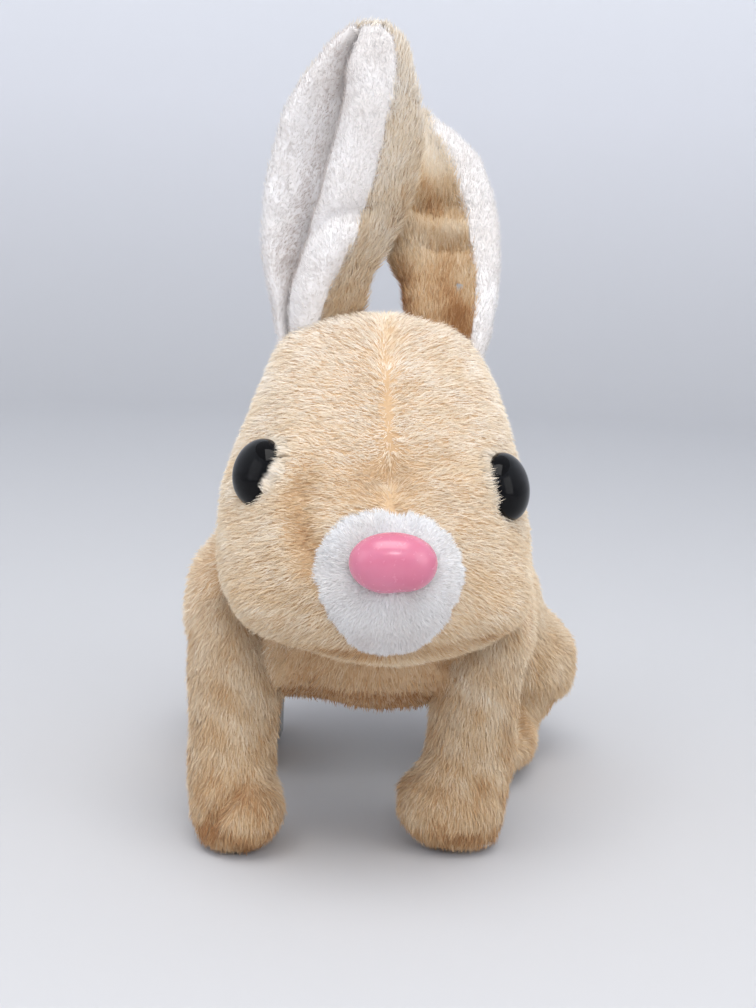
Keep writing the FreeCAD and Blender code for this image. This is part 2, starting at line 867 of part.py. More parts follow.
def half_tooth_angle(radius, teeth):
    """Half the angle that a tooth takes up at a radius, for stub teeth of 25 degrees."""
    pressure = math.radians(25)
    pitch_radius = teeth * size("gear_module") / 2
    base_radius = pitch_radius * math.cos(pressure)
    at_pitch = math.pi / (2 * teeth) - size("tooth_backlash") / (4 * pitch_radius)
    local = math.acos(min(1, base_radius / radius))
    return at_pitch + involute(pressure) - involute(local)


def gear_outline(teeth, start):
    """A closed outline of stub teeth about the origin, the first one at angle start."""
    module = size("gear_module")
    pitch_radius = teeth * module / 2
    root, tip = pitch_radius - module, pitch_radius + 0.8 * module
    flank = [root + (tip - root) * step / 4 for step in range(5)]
    points = []
    for tooth in range(teeth):
        middle = start + 2 * math.pi * tooth / teeth
        for radius in flank:
            points.append((radius, middle - half_tooth_angle(radius, teeth)))
        for radius in reversed(flank):
            points.append((radius, middle + half_tooth_angle(radius, teeth)))
    corners = [Vector(0, radius * math.cos(turn), radius * math.sin(turn)) for radius, turn in points]
    return Part.makePolygon(corners + corners[:1])


def gear_solid(teeth, start, plane):
    """A toothed disc across X, whose near face is at a plane."""
    face = Part.Face(gear_outline(teeth, start))
    disc = face.extrude(Vector(size("gear_face"), 0, 0))
    disc.translate(Vector(size(plane), 0, 0))
    return disc


def bore_solid(radius, low, high):
    return Part.makeCylinder(radius, high - low, Vector(low, 0, 0), Vector(1, 0, 0))


def gear_node(label, shape, step):
    """Put a gear made about the origin on its own shaft."""
    item = doc.addObject("Part::Feature", label)
    item.Shape = shape
    item.Placement = Placement(Vector(0, size(train_y(step)), size("crank_z")), Rotation())
    return node(item, label)


def make_gears():
    """A pinion and two compound gears that drive the crank gear, in mesh at rest."""
    loose = size("gear_shaft_radius") + size("run_gap")
    small, pinion = int(size("small_gear_teeth")), int(size("pinion_teeth"))
    large, first = int(size("middle_gear_teeth")), int(size("motor_gear_teeth"))
    face = size("gear_face")
    plane = {name: size("plane_" + name) for name in ("crank", "middle", "motor")}

    crank_gear = gear_solid(int(size("crank_gear_teeth")), 0, "plane_crank")
    crank_hole = bore_solid(size("crank_shaft_radius"), plane["crank"] - 1, plane["crank"] + face + 1)
    gear_node("crank_gear", crank_gear.cut(crank_hole), 0)

    for label, step, few, many, low, high in (
            ("gear_2", 1, small, large, "crank", "middle"), ("gear_1", 2, small, first, "middle", "motor")):
        narrow = gear_solid(few, math.pi / few, "plane_" + low)
        wide = gear_solid(many, 0, "plane_" + high)
        hub = bore_solid(2, plane[low], plane[high] + face)
        hole = bore_solid(loose, plane[low] - 1, plane[high] + face + 1)
        gear_node(label, narrow.fuse([wide, hub]).cut(hole), step)

    teeth = gear_solid(pinion, math.pi / pinion, "plane_motor")
    stub = bore_solid(size("motor_shaft_radius"), size("motor_front_x") - 5, plane["motor"] + face + 0.5)
    gear_node("motor_pinion", teeth.fuse(stub), 3)


# ---------------------------------------------------------------- crank

def make_crank():
    """The crank shaft, its two discs with their pins, and the cam for the head."""
    end = "disc_x + disc_wall"
    shaft = cross_cylinder("crank_shaft", "crank_shaft_radius", ("-(%s)" % end, end), "crank_y", "crank_z")
    node(shaft, "crank_shaft")
    for side, label in ((1, "crank_disc_left"), (-1, "crank_disc_right")):
        low, high = ("disc_x", end) if side > 0 else ("-(%s)" % end, "-disc_x")
        disc = plate(label + "_plate", "YZ_Plane", low, "(%s) - (%s)" % (high, low),
                     circles=[(("crank_y", "crank_z"), "disc_radius")],
                     holes=[(("crank_y", "crank_z"), "crank_shaft_radius")])
        span = (end, "crank_pin_x") if side > 0 else ("-crank_pin_x", "-(%s)" % end)
        pin = cross_cylinder(label + "_pin", "crank_pin_radius", span, "crank_y - crank_throw", "crank_z")
        node(fuse(label, disc, pin), label)
    cam = plate("head_cam", "YZ_Plane", "-cam_half", "2 * cam_half",
                circles=[(("crank_y", "crank_z - cam_throw"), "cam_radius")],
                holes=[(("crank_y", "crank_z"), "crank_shaft_radius")])
    node(cam, "head_cam")


# ---------------------------------------------------------------- rocker, neck and head rod

def make_rocker():
    """A lever under the cam that lifts the head rod with its forked front end."""
    half = "rocker_thick / 2"
    bar = box("rocker_bar", ("-rocker_half", "rocker_half"), ("rocker_front", "rocker_back"),
              ("rocker_z - %s" % half, "rocker_z + %s" % half))
    hub = cross_cylinder("rocker_hub", "rocker_hub", ("-rocker_half", "rocker_half"), "rocker_y",
                         "rocker_z")
    hole = cross_cylinder("rocker_hole", "rocker_pin_radius + run_gap",
                          ("-rocker_half - 1", "rocker_half + 1"), "rocker_y", "rocker_z")
    fork = box("rocker_fork", ("-rod_radius - 0.3", "rod_radius + 0.3"),
               ("rocker_front - 1", "rod_y + rod_radius + 0.6"), ("rocker_z - 3", "rocker_z + 3"))
    node(cut("rocker", fuse("rocker_body", bar, hub), hole, fork), "rocker")
    pin = cross_cylinder("rocker_pin", "rocker_pin_radius",
                         ("-bearing_inner - bearing_wall", "bearing_inner + bearing_wall"),
                         "rocker_y", "rocker_z")
    node(pin, "rocker_pin")


def make_neck_post():
    """The tube that carries the skull, on a base with bearings for the rocker."""
    top_of_base = "tray_top + neck_base_wall"
    base = box("neck_base", ("-neck_base_half", "neck_base_half"),
               ("neck_base_front", "neck_base_back"), ("tray_top", top_of_base))
    tube = upright_cylinder("neck_tube", "neck_radius", "0", "rod_y", ("tray_top", "neck_top"))
    bore = upright_cylinder("neck_bore", "neck_bore", "0", "rod_y",
                            (top_of_base, "neck_top - neck_cap"))
    guide = upright_cylinder("neck_guide", "rod_radius + run_gap", "0", "rod_y",
                             (top_of_base, "neck_top + 1"))
    ears = []
    for side in (1, -1):
        ear = side_box("rocker_bearing", side, ("bearing_inner", "bearing_inner + bearing_wall"),
                       ("rocker_y - bearing_half", "rocker_y + bearing_half"),
                       ("tray_top", "rocker_z + bearing_half"))
        ears.append(ear)
    pin = cross_cylinder("bearing_hole", "rocker_pin_radius",
                         ("-bearing_inner - bearing_wall - 1", "bearing_inner + bearing_wall + 1"),
                         "rocker_y", "rocker_z")
    slot = box("neck_slot", ("-rocker_half - 0.6", "rocker_half + 0.6"),
               ("rocker_front - 2", "rod_y + neck_radius + 1"), (top_of_base, "rocker_z + 4.5"))
    body = fuse("neck_body", base, tube, *ears)
    node(cut("neck_post", body, bore, guide, pin, slot), "neck_post")


def make_head_rod():
    """The rod in the neck, with a pair of collars for each lever that it works."""
    pieces = [upright_cylinder("rod", "rod_radius", "0", "rod_y", ("rod_low", "rod_high"))]
    for level, gap in (("rocker_z", "rocker_thick / 2 + 0.35"), ("nose_pivot_z", "nose_bar_half + 0.35"),
                       ("ear_pivot_z", "ear_arm_half + 0.4")):
        below = "%s - (%s)" % (level, gap)
        above = "%s + (%s)" % (level, gap)
        pieces.append(upright_cylinder("collar", "collar_radius", "0", "rod_y",
                                       (below + " - collar_wall", below)))
        pieces.append(upright_cylinder("collar", "collar_radius", "0", "rod_y",
                                       (above, above + " + collar_wall")))
    node(fuse("head_rod", *pieces), "head_rod")


# ---------------------------------------------------------------- circuit board and wiring

def make_circuit_board():
    board = plate("circuit_board", "XY_Plane", "board_z", "board_wall",
                  rectangles=[(("-board_half", "board_half"), ("board_front", "board_back"))])
    node(board, "circuit_board")
    top = "board_z + board_wall"
    parts = [
        upright_cylinder("sound_chip", "3.5", "-6", "board_front + 7", (top, top + " + 1.2")),
        upright_cylinder("capacitor", "2", "8", "board_back - 4", (top, top + " + 2.2")),
        box("driver_chip", ("3", "9"), ("board_front + 4", "board_front + 8"), (top, top + " + 1.2")),
    ]
    for index in range(4):
        spot = "board_front + 14 + %d" % (3 * index)
        parts.append(box("resistor", ("-12", "-9"), (spot, spot + " + 1.4"), (top, top + " + 0.7")))
    node(group("circuit_components", *parts), "circuit_components")


def lead(points):
    """A round lead: straight runs joined by tangent arcs."""
    path = [Vector(*[size(value) for value in point]) for point in points]
    bend = size("lead_bend")
    edges = []
    start = path[0]
    for index in range(1, len(path) - 1):
        corner = path[index]
        back = (path[index - 1] - corner).normalize()
        ahead = (path[index + 1] - corner).normalize()
        enter, leave = corner + back * bend, corner + ahead * bend
        half_turn = back.getAngle(ahead) / 2
        radius = bend * math.tan(half_turn)
        middle = corner + (back + ahead).normalize() * (radius / math.sin(half_turn) - radius)
        edges.append(Part.makeLine(start, enter))
        edges.append(Part.Arc(enter, middle, leave).toShape())
        start = leave
    edges.append(Part.makeLine(start, path[-1]))
    route = Part.Wire(edges)
    ring = Part.Wire(Part.makeCircle(size("lead_radius"), path[0], path[1] - path[0]))
    return route.makePipeShell([ring], True, False)


def lead_node(label, routes):
    item = doc.addObject("Part::Feature", label)
    item.Shape = Part.makeCompound([lead(route) for route in routes])
    item.Placement = Placement()
    return node(item, label)


def make_leads():
    """Short leads from the battery contacts, the motor and the speaker to the board."""
    bay_end = "bay_back + bay_wall"
    bend = bay_end + " + lead_turn"
    battery = []
    for side in (-1, 1):
        x = mirrored("cell_x", side)
        battery.append([(x, bay_end, "lead_exit_z"), (x, bend, "lead_exit_z"), (x, bend, "board_z")])
    lead_node("battery_leads", battery)
    lead_node("motor_leads", [motor_lead(side) for side in (-1, 1)])
    rim = "speaker_y + speaker_radius - 1"
    turn = rim + " - lead_drop"
    speaker = []
    for side in (-1, 1):
        x = mirrored("speaker_lead_x", side)
        speaker.append([(x, rim, "tray_z + tray_wall + 2"), (x, rim, "board_z - lead_drop"),
                        (x, turn, "board_z - lead_drop"), (x, turn, "board_z")])
    lead_node("speaker_leads", speaker)


def motor_lead(side):
    """The route from a motor tab, down past the gear plate and in to the board."""
    tab = "%s + (%s)" % (train_y(3), mirrored("tab_y", side))
    clear = "%s + (%s)" % (train_y(3), mirrored("motor_lead_y", side))
    x = "motor_back_x - tab_depth"
    edge = "-board_half + lead_inset"
    over = "board_z + lead_rise"
    return [(x, tab, "crank_z + tab_z"), (x, clear, "crank_z + tab_z"), (x, clear, over), (edge, clear, over),
            (edge, clear, "board_z + board_wall")]


def make_case_screws():
    """Screws that hold the neck post, the leg frames and the two halves of the skull."""
    screws = []
    for side in (-1, 1):
        screws.append(down_screw(mirrored("neck_base_half - 3", side), "tray_front + 3",
                                 "tray_top + neck_base_wall"))
        screws.append(down_screw(mirrored("leg_x - 3", side), "arm_back - 2.5", "arm_high"))
    node(group("case_screws", *screws), "case_screws")


def down_screw(x, y, top):
    """The slotted head of a screw that stands on a face."""
    cap = upright_cylinder("screw_cap", "case_screw_head", x, y, (top, "%s + 1.2" % top))
    cross = box("screw_cross", ("%s - 1.4" % x, "%s + 1.4" % x), ("%s - 0.25" % y, "%s + 0.25" % y),
                ("%s + 0.7" % top, "%s + 2" % top))
    return cut("case_screw", cap, cross)


# ---------------------------------------------------------------- skull and levers

def make_skull():
    """Two half shells that meet in the plane of the rod, with bearings for the levers."""
    centre = ("0", "skull_y", "skull_z")
    outer = ellipsoid("skull_outer", centre, ("skull_half_x", "skull_half_y", "skull_half_z"))
    inner = ellipsoid("skull_inner", centre, ["skull_half_%s - skull_wall" % axis for axis in "xyz"])
    shell = cut("skull_shell", outer, inner)
    front_bearings = ear_brackets("ear_pivot_y - ear_bearing_inner - ear_bearing_wall")
    front_parts = [shell] + nose_brackets() + front_bearings
    back_parts = [shell] + ear_brackets("ear_pivot_y + ear_bearing_inner")
    openings = skull_openings()
    for label, parts, span in (("skull_front", front_parts, ("-100", "rod_y")),
                               ("skull_back", back_parts, ("rod_y", "100"))):
        half = box(label + "_side", ("-60", "60"), span, ("40", "140"))
        solid = cut(label + "_open", fuse(label + "_body", *parts), *openings)
        head_node(common(label, solid, half), label)


def nose_brackets():
    """Two cheeks inside the front shell that hold the nose lever's trunnions."""
    return [side_box("nose_bracket", side, ("bracket_inner", "bracket_inner + bracket_wall"),
                     ("nose_pivot_y - 3.5", "nose_pivot_y + 3.5"), ("skull_z - 21", "nose_pivot_z + 3.5"))
            for side in (-1, 1)]


def ear_brackets(front):
    """A bearing plate under each ear, from front backwards."""
    across = ("ear_pivot_x - ear_bearing_half", "ear_pivot_x + ear_bearing_half")
    deep = (front, front + " + ear_bearing_wall")
    tall = ("ear_bearing_low", "ear_pivot_z + ear_bearing_half")
    return [side_box("ear_bracket", side, across, deep, tall) for side in (-1, 1)]


def skull_openings():
    neck = upright_cylinder("skull_neck", "neck_radius + 0.02", "0", "rod_y", ("50", "neck_top + 0.5"))
    top = upright_cylinder("skull_top", "top_hole", "0", "rod_y", ("110", "140"))
    slot = box("skull_slot", ("-nose_bar_half - 1.5", "nose_bar_half + 1.5"), ("-80", "-55"),
               ("nose_pivot_z - 5", "nose_pivot_z + 5"))
    trunnion = cross_cylinder("trunnion_hole", "trunnion_radius + run_gap",
                              ("-trunnion_half - 1", "trunnion_half + 1"), "nose_pivot_y", "nose_pivot_z")
    pivots = [long_cylinder("ear_hole", "trunnion_radius + run_gap", mirrored("ear_pivot_x", side),
                            ("ear_pivot_y - 8", "ear_pivot_y + 8"), "ear_pivot_z") for side in (-1, 1)]
    return [neck, top, slot, trunnion] + pivots


def make_nose():
    """The nose and the lever that lifts it."""
    tall = ("nose_pivot_z - nose_bar_half", "nose_pivot_z + nose_bar_half")
    bar = box("nose_bar", ("-nose_bar_half", "nose_bar_half"), ("nose_bar_front", "nose_pivot_y"), tall)
    rear = box("nose_rear", ("-nose_fork_half", "nose_fork_half"), ("nose_pivot_y", "nose_bar_back"), tall)
    pin = cross_cylinder("nose_trunnions", "trunnion_radius", ("-trunnion_half", "trunnion_half"),
                         "nose_pivot_y", "nose_pivot_z")
    fork = box("nose_fork", ("-rod_radius - 0.3", "rod_radius + 0.3"),
               ("rod_y - rod_radius - 0.6", "nose_bar_back + 1"), ("nose_pivot_z - 4", "nose_pivot_z + 4"))
    head_node(cut("nose_lever", fuse("nose_lever_body", bar, rear, pin), fork), "nose_lever")
    pad = ellipsoid("nose_pad", ("nose_x", "nose_back", "nose_z"),
                    ("nose_half_x", "nose_depth", "nose_half_z"))
    front = box("nose_front", ("-20", "20"), ("-120", "nose_back"), ("60", "100"))
    socket = box("nose_socket", ("-nose_bar_half", "nose_bar_half"), ("nose_bar_front", "-60"), tall)
    head_node(cut("nose", common("nose_dome", pad, front), socket), "nose")


def make_ear_lever(side, label, form):
    """A bell crank: its short arm meets the rod and its post stands in the ear."""
    x = mirrored("ear_pivot_x", side)
    hub = long_cylinder("ear_hub", "ear_hub_radius", x,
                        ("ear_pivot_y - ear_hub_half", "ear_pivot_y + ear_hub_half"), "ear_pivot_z")
    pins = long_cylinder("ear_trunnions", "trunnion_radius", x,
                         ("ear_pivot_y - ear_bearing_inner - ear_bearing_wall",
                          "ear_pivot_y + ear_bearing_inner + ear_bearing_wall"), "ear_pivot_z")
    arm = side_box("ear_arm", side, ("ear_arm_inner", "ear_pivot_x"),
                   ("ear_pivot_y - ear_hub_half", "ear_pivot_y + ear_hub_half - 3"),
                   ("ear_pivot_z - ear_arm_half", "ear_pivot_z + ear_arm_half"))
    post = doc.addObject("Part::Cylinder", "ear_post")
    bind(post, {"Radius": "ear_post_radius", "Height": "ear_post_length"})
    reach = [size("%s_%s_0 - ear_pivot_%s" % (form, axis, axis)) for axis in "xyz"]
    post.Placement = Placement(Vector(), Rotation(Vector(0, 0, 1), Vector(side * reach[0], *reach[1:])))
    place(post, x, "ear_pivot_y", "ear_pivot_z")
    head_node(fuse(label, hub, pins, arm, post), label)
    return post


# ---------------------------------------------------------------- ears

def make_ear(side, name, sections, lining_side):
    """A flat plush ear on its post, with a paler lining on one face."""
    form = name + "_ear"
    lever_post = make_ear_lever(side, "ear_lever_" + name, form)
    count = len(sections)
    ear = upright_loft(form + "_form", form, count, side)
    head_node(cut("ear_" + name, ear, lever_post), "ear_" + name)
    spread = upright_loft(form + "_spread", form, count, side, inset="lining_inset", spread="lining")
    hidden = upright_loft(form + "_hidden", form, count, side, inset="-6", spread="5",
                          shift="%d * 6" % -lining_side)
    head_node(cut("ear_lining_" + name, spread, ear, hidden, lever_post), "ear_lining_" + name)


# ---------------------------------------------------------------- eyes

def make_eyes():
    """Glossy domes whose stems go through the skin to a washer each."""
    washers = []
    for side, label in ((1, "eye_left"), (-1, "eye_right")):
        dome = eye_piece(label + "_dome", side, "Part::Ellipsoid", "0",
                         {"Radius1": "eye_dome", "Radius2": "eye_radius", "Radius3": "eye_radius"})
        dome.Angle1 = 0
        dome.Angle2 = 90
        stem = eye_piece(label + "_stem", side, "Part::Cylinder", "-eye_stem",
                         {"Radius": "eye_stem_radius", "Height": "eye_stem"})
        head_node(fuse(label, dome, stem), label)
        washer = eye_piece(label + "_washer", side, "Part::Cylinder", "-washer_depth",
                           {"Radius": "washer_radius", "Height": "washer_wall"})
        washers.append(cut(label + "_ring", washer, stem))
    head_node(group("eye_washers", *washers), "eye_washers")


def eye_piece(name, side, kind, along, sizes):
    """A round piece on the eye's own axis, at a distance along it."""
    item = bind(doc.addObject(kind, name), sizes)
    angle, tilt = math.radians(size("eye_angle")), math.radians(size("eye_tilt"))
    level = math.cos(tilt)
    outward = Vector(side * math.sin(angle) * level, -math.cos(angle) * level, math.sin(tilt))
    item.Placement = Placement(Vector(), Rotation(Vector(0, 0, 1), outward))
    flat = "(%s) * cos(eye_tilt * 1deg)" % along
    return place(item, "%d * (eye_x + %s * sin(eye_angle * 1deg))" % (side, flat),
                 "eye_y - %s * cos(eye_angle * 1deg)" % flat,
                 "eye_z + (%s) * sin(eye_tilt * 1deg)" % along)


# ---------------------------------------------------------------- head skin

def make_head_skin():
    """The head's plush shell, its wadding's cavity and the openings for what moves."""
    outer = head_loft("head_outer", "0")
    inner = head_loft("head_inner", "-skin")
    slots = head_slots()
    head_node(cut("head_skin", outer, inner, *slots), "head_skin")
    raised = head_loft("head_raised", "muzzle_pile")
    disc = long_cylinder("muzzle_disc", "muzzle_radius", "0", ("-110", "-68"), "muzzle_z")
    head_node(cut("muzzle_patch", common("muzzle_cap", raised, disc), outer, slots[0]), "muzzle_patch")
    turned = turn_with_head(group("head_space", outer))
    return turned, inner, slots


def head_slots():
    """Openings for the nose's bar, the neck and the ear posts, and seats for the eyes."""
    nose = box("nose_slot", ("-nose_bar_half - 1.5", "nose_bar_half + 1.5"), ("-100", "-50"),
               ("nose_pivot_z - 5", "nose_pivot_z + 5"))
    neck = box("neck_opening", ("-disc_x - 2", "disc_x + 2"), ("neck_base_front - 3", "40"),
               ("40", "cover_top + 2"))
    ears = [side_box("ear_slot", side, ("ear_pivot_x - 3.5", "ear_pivot_x + 11"),
                     ("ear_pivot_y - ear_slot_half - 1.2", "ear_pivot_y + ear_slot_half + 1.2"),
                     ("ear_bearing_low", "140")) for side in (-1, 1)]
    stems = [eye_piece("eye_hole", side, "Part::Cylinder", "-14",
                       {"Radius": "eye_stem_radius + 0.1", "Height": "17"}) for side in (-1, 1)]
    seats = [eye_piece("eye_seat", side, "Part::Cylinder", "0",
                       {"Radius": "eye_radius + 0.1", "Height": "9"}) for side in (-1, 1)]
    return [nose, neck] + ears + stems + seats


# ---------------------------------------------------------------- body, tail and wadding

def make_body_skin(head_space):
    """The body's plush shell, open at the belly and where the mechanism comes out."""
    outer = body_solid("body_outer", "0")
    inner = body_solid("body_inner", "-skin")
    openings = [
        inner,
        head_space,
        cross_cylinder("crank_window", "disc_radius + 1.5", ("-60", "60"), "crank_y", "crank_z"),
        cross_cylinder("axle_opening", "axle_radius", ("-60", "60"), "axle_y", "axle_z"),
        box("door_opening", ("-bay_half - 1", "bay_half + 1"), ("bay_front - 1", "tongue_back + 2"),
            ("0", "tray_z + 1")),
        box("switch_opening", ("switch_x - 3", "switch_x + 3"), ("switch_y - 6", "switch_y + 6"),
            ("0", "tray_z + 1")),
        box("neck_base_space", ("-neck_base_half - free_gap", "neck_base_half + free_gap"),
            ("neck_base_front - free_gap", "neck_base_back"),
            ("tray_top - free_gap", "tray_top + neck_base_wall + free_gap")),
    ]
    openings += leg_arms("arm_space")
    openings += [upright_cylinder("core_space", "leg_core", mirrored("leg_x", side), "leg_y",
                                  ("sole", "arm_high")) for side in (-1, 1)]
    carved("body_skin", outer, openings)
    return outer, inner


def make_tail():
    """Half a ball on the flat end of the body."""
    ball = ellipsoid("tail_ball", ("0", "tail_y", "tail_z"), ["tail_radius"] * 3)
    behind = box("tail_side", ("-30", "30"), ("tail_y", "120"), ("0", "100"))
    node(common("tail", ball, behind), "tail")


def make_stuffing(body_inner, head_space, head_inner, slots):
    """Wadding behind the chassis, in the shoulders and behind the skull."""
    rump = box("rump_zone", ("-26", "26"), ("cover_back + 0.5", "90"), ("36", "84"))
    rump_pad = cut("rump_wadding", common("rump_fill", body_inner, rump), head_space)
    nape = box("nape_zone", ("-30", "30"), ("skull_y + skull_half_y + 2", "30"), ("84", "112"))
    nape_pad = turn_with_head(cut("nape_wadding", common("nape_fill", head_inner, nape), *slots))
    cheeks = []
    for side in (-1, 1):
        zone = side_box("cheek_zone", side, ("skull_half_x + 0.6", "60"), ("-54", "-14"), ("64", "84"))
        cheeks.append(turn_with_head(common("cheek_wadding", head_inner, zone)))
    node(group("stuffing", rump_pad, nape_pad, *cheeks), "stuffing")


# ---------------------------------------------------------------- front legs

def leg_arms(name):
    """The bars that reach from the tray into each front leg."""
    return [side_box(name, side, ("tray_half", "leg_x + 2"), ("arm_front", "arm_back"),
                     ("arm_low", "arm_high")) for side in (-1, 1)]


def make_front_legs(body_outer, head_space):
    soles = []
    for side, label in ((1, "left"), (-1, "right")):
        x = mirrored("leg_x", side)
        core = upright_cylinder("leg_core", "leg_core", x, "leg_y", ("sole", "arm_high"))
        arm = leg_arms("leg_arm")[0 if side < 0 else 1]
        node(fuse("front_leg_frame_" + label, core, arm), "front_leg_frame_" + label)
        sole = ellipsoid("front_sole_form", (x, "paw_y", "0"),
                         ("front_sole_half_x", "front_sole_half_y", "30"))
        slab = box("front_sole_slab", ("-60", "60"), ("-80", "0"), ("0", "sole"))
        soles.append(common("front_sole", sole, slab))
        make_front_leg_skin(side, label, core, arm, body_outer, head_space)
    node(group("front_foot_pads", *soles), "front_foot_pads")


def make_front_leg_skin(side, label, core, arm, body_outer, head_space):
    """A plush leg with a rounded paw, over its plastic core."""
    column = upright_loft("leg_form_" + label, "leg", len(LEG_SECTIONS), side)
    paw = ellipsoid("paw_" + label, (mirrored("leg_x", side), "paw_y", "paw_z"),
                    ("paw_half_x", "paw_half_y", "paw_half_z"))
    below_sole = box("below_sole_" + label, ("-80", "80"), ("-100", "20"), ("-30", "sole"))
    form = fuse("leg_body_" + label, column, paw)
    carved("front_leg_skin_" + label, form, [below_sole, body_outer, head_space, arm, core])


# ---------------------------------------------------------------- hind legs

def make_hind_legs():
    """The axle, and on each side a lever, a sole and a plush haunch with its foot."""
    end = "lever_x + lever_wall + 0.4"
    node(cross_cylinder("hind_axle", "axle_radius", ("-(%s)" % end, end), "axle_y", "axle_z"), "hind_axle")
    soles = []
    for side, label in ((1, "left"), (-1, "right")):
        shank = hind_lever(side, label)
        slab = side_box("hind_sole", side, ("hind_sole_inner", "hind_sole_outer"),
                        ("hind_sole_front", "hind_sole_back"), ("0", "sole"))
        soles.append(slab)
        make_haunch(side, label, shank)
    node(group("hind_foot_pads", *soles), "hind_foot_pads")


def hind_lever(side, label):
    """A plate from the crank, past the axle, down to the foot."""
    x = ("lever_x", "lever_x + lever_wall")
    span = x if side > 0 else ("-(%s)" % x[1], "-(%s)" % x[0])
    reach = "sqrt((axle_y - crank_y) ^ 2 + (crank_z - axle_z) ^ 2)"
    arm = lever_bar("lever_arm_" + label, span, "%s + slot_reach + 2.5" % reach, "lever_bar_half")
    through = (span[0] + " - 1", span[1] + " + 1")
    slot = lever_bar("lever_slot_" + label, through, "%s + slot_reach" % reach, "slot_half")
    slot_limit = cross_cylinder("slot_limit_" + label, "slot_reach", (span[0] + " - 2", span[1] + " + 2"),
                                "crank_y", "crank_z")
    hub = cross_cylinder("lever_hub_" + label, "lever_hub", span, "axle_y", "axle_z")
    shank = box("lever_shank_" + label, span, ("shank_y", "axle_y + 4"), ("sole", "axle_z"))
    hole = cross_cylinder("lever_hole_" + label, "axle_radius + run_gap", through, "axle_y", "axle_z")
    body = fuse("lever_body_" + label, arm, hub, shank)
    lever = cut("hind_lever_" + label, body, common("slot_" + label, slot, slot_limit), hole)
    node(lever, "hind_lever_" + label)
    return shank


def lever_bar(name, span, length, half):
    """A bar from the axle towards the crank shaft."""
    item = doc.addObject("Part::Box", name)
    rise = math.atan2(size("crank_z - axle_z"), size("crank_y - axle_y"))
    bind(item, {"Length": "(%s) - (%s)" % (span[1], span[0]), "Width": length, "Height": "2 * (%s)" % half})
    item.Placement = Placement(Vector(), Rotation(Vector(1, 0, 0), math.degrees(rise)))
    swing = "atan2(crank_z - axle_z; crank_y - axle_y)"
    across = "axle_y + (%s) * sin(%s)" % (half, swing)
    up = "axle_z - (%s) * cos(%s)" % (half, swing)
    return place(item, span[0], across, up)


def make_haunch(side, label, shank):
    """A plush thigh with a long foot under it."""
    face = "lever_x + lever_wall"
    thigh = ellipsoid("thigh_" + label, (mirrored(face, side), "haunch_y", "haunch_z"),
                      ("haunch_half_x", "haunch_half_y", "haunch_half_z"))
    outside = side_box("thigh_side_" + label, side, (face, "90"), ("-60", "120"), ("sole", "120"))
    foot = ellipsoid("foot_" + label, (mirrored("foot_x", side), "foot_y", "foot_z"),
                     ("foot_half_x", "foot_half_y", "foot_half_z"))
    above_sole = box("foot_limit_" + label, ("-90", "90"), ("-60", "120"), ("sole", "60"))
    axle_room = cross_cylinder("axle_room_" + label, "axle_radius + 1", ("-(%s) - 2" % face, face + " + 2"),
                               "axle_y", "axle_z")
    foot_skin = cut("foot_skin_" + label, common("foot_top_" + label, foot, above_sole), shank)
    thigh_skin = cut("thigh_skin_" + label, common("thigh_half_" + label, thigh, outside), axle_room)
    node(fuse("hind_leg_skin_" + label, thigh_skin, foot_skin), "hind_leg_skin_" + label)


# ---------------------------------------------------------------- build, check and export

def fill_sheet():
    for alias, value in DIMENSIONS.items():
        dimension(alias, value)
    section_dimensions("head", HEAD_SECTIONS, ("z", "y", "half", "deep"))
    section_dimensions("body", BODY_SECTIONS, ("y", "z", "half", "high"))
    columns = ("z", "x", "y", "half", "thick")
    section_dimensions("right_ear", RIGHT_EAR_SECTIONS, columns)
    section_dimensions("left_ear", LEFT_EAR_SECTIONS, columns)
    section_dimensions("leg", LEG_SECTIONS, columns)
    doc.recompute()


def build():
    fill_sheet()
    make_belly_tray()
    make_battery_door()
    make_door_screw()
    make_batteries()
    make_battery_contacts()
    make_speaker()
    make_switch()
    make_upper_housing()
    make_gear_plates()
    make_gear_shafts()
    make_motor()
    make_gears()
    make_crank()
    make_rocker()
    make_neck_post()
    make_head_rod()
    make_circuit_board()
    make_leads()
    make_case_screws()
    make_skull()
    make_nose()
    make_ear(1, "left", LEFT_EAR_SECTIONS, 1)
    make_ear(-1, "right", RIGHT_EAR_SECTIONS, -1)
    make_eyes()
    head_space, head_inner, slots = make_head_skin()
    body_outer, body_inner = make_body_skin(head_space)
    make_tail()
    make_stuffing(body_inner, head_space, head_inner, slots)
    make_front_legs(body_outer, head_space)
    make_hind_legs()
    doc.recompute()


def check():
    """Refuse a failed object, or a piece with no shape or a broken one."""
    for item in doc.Objects:
        if any(word in ("Invalid", "Error") for word in item.State):
            raise RuntimeError("%s (%s) failed: %s" % (item.Name, item.Label, item.State))
    for item in nodes:
        if item.Shape.isNull() or not item.Shape.isValid() or not item.Shape.Solids:
            raise RuntimeError("%s has no good shape" % item.Label)


def export():
    os.makedirs("parts", exist_ok=True)
    for item in nodes:
        item.Shape.exportStep("parts/%s.step" % item.Label)


build()
check()
export()
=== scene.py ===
import math

import bpy
import numpy as np
from mathutils import Matrix


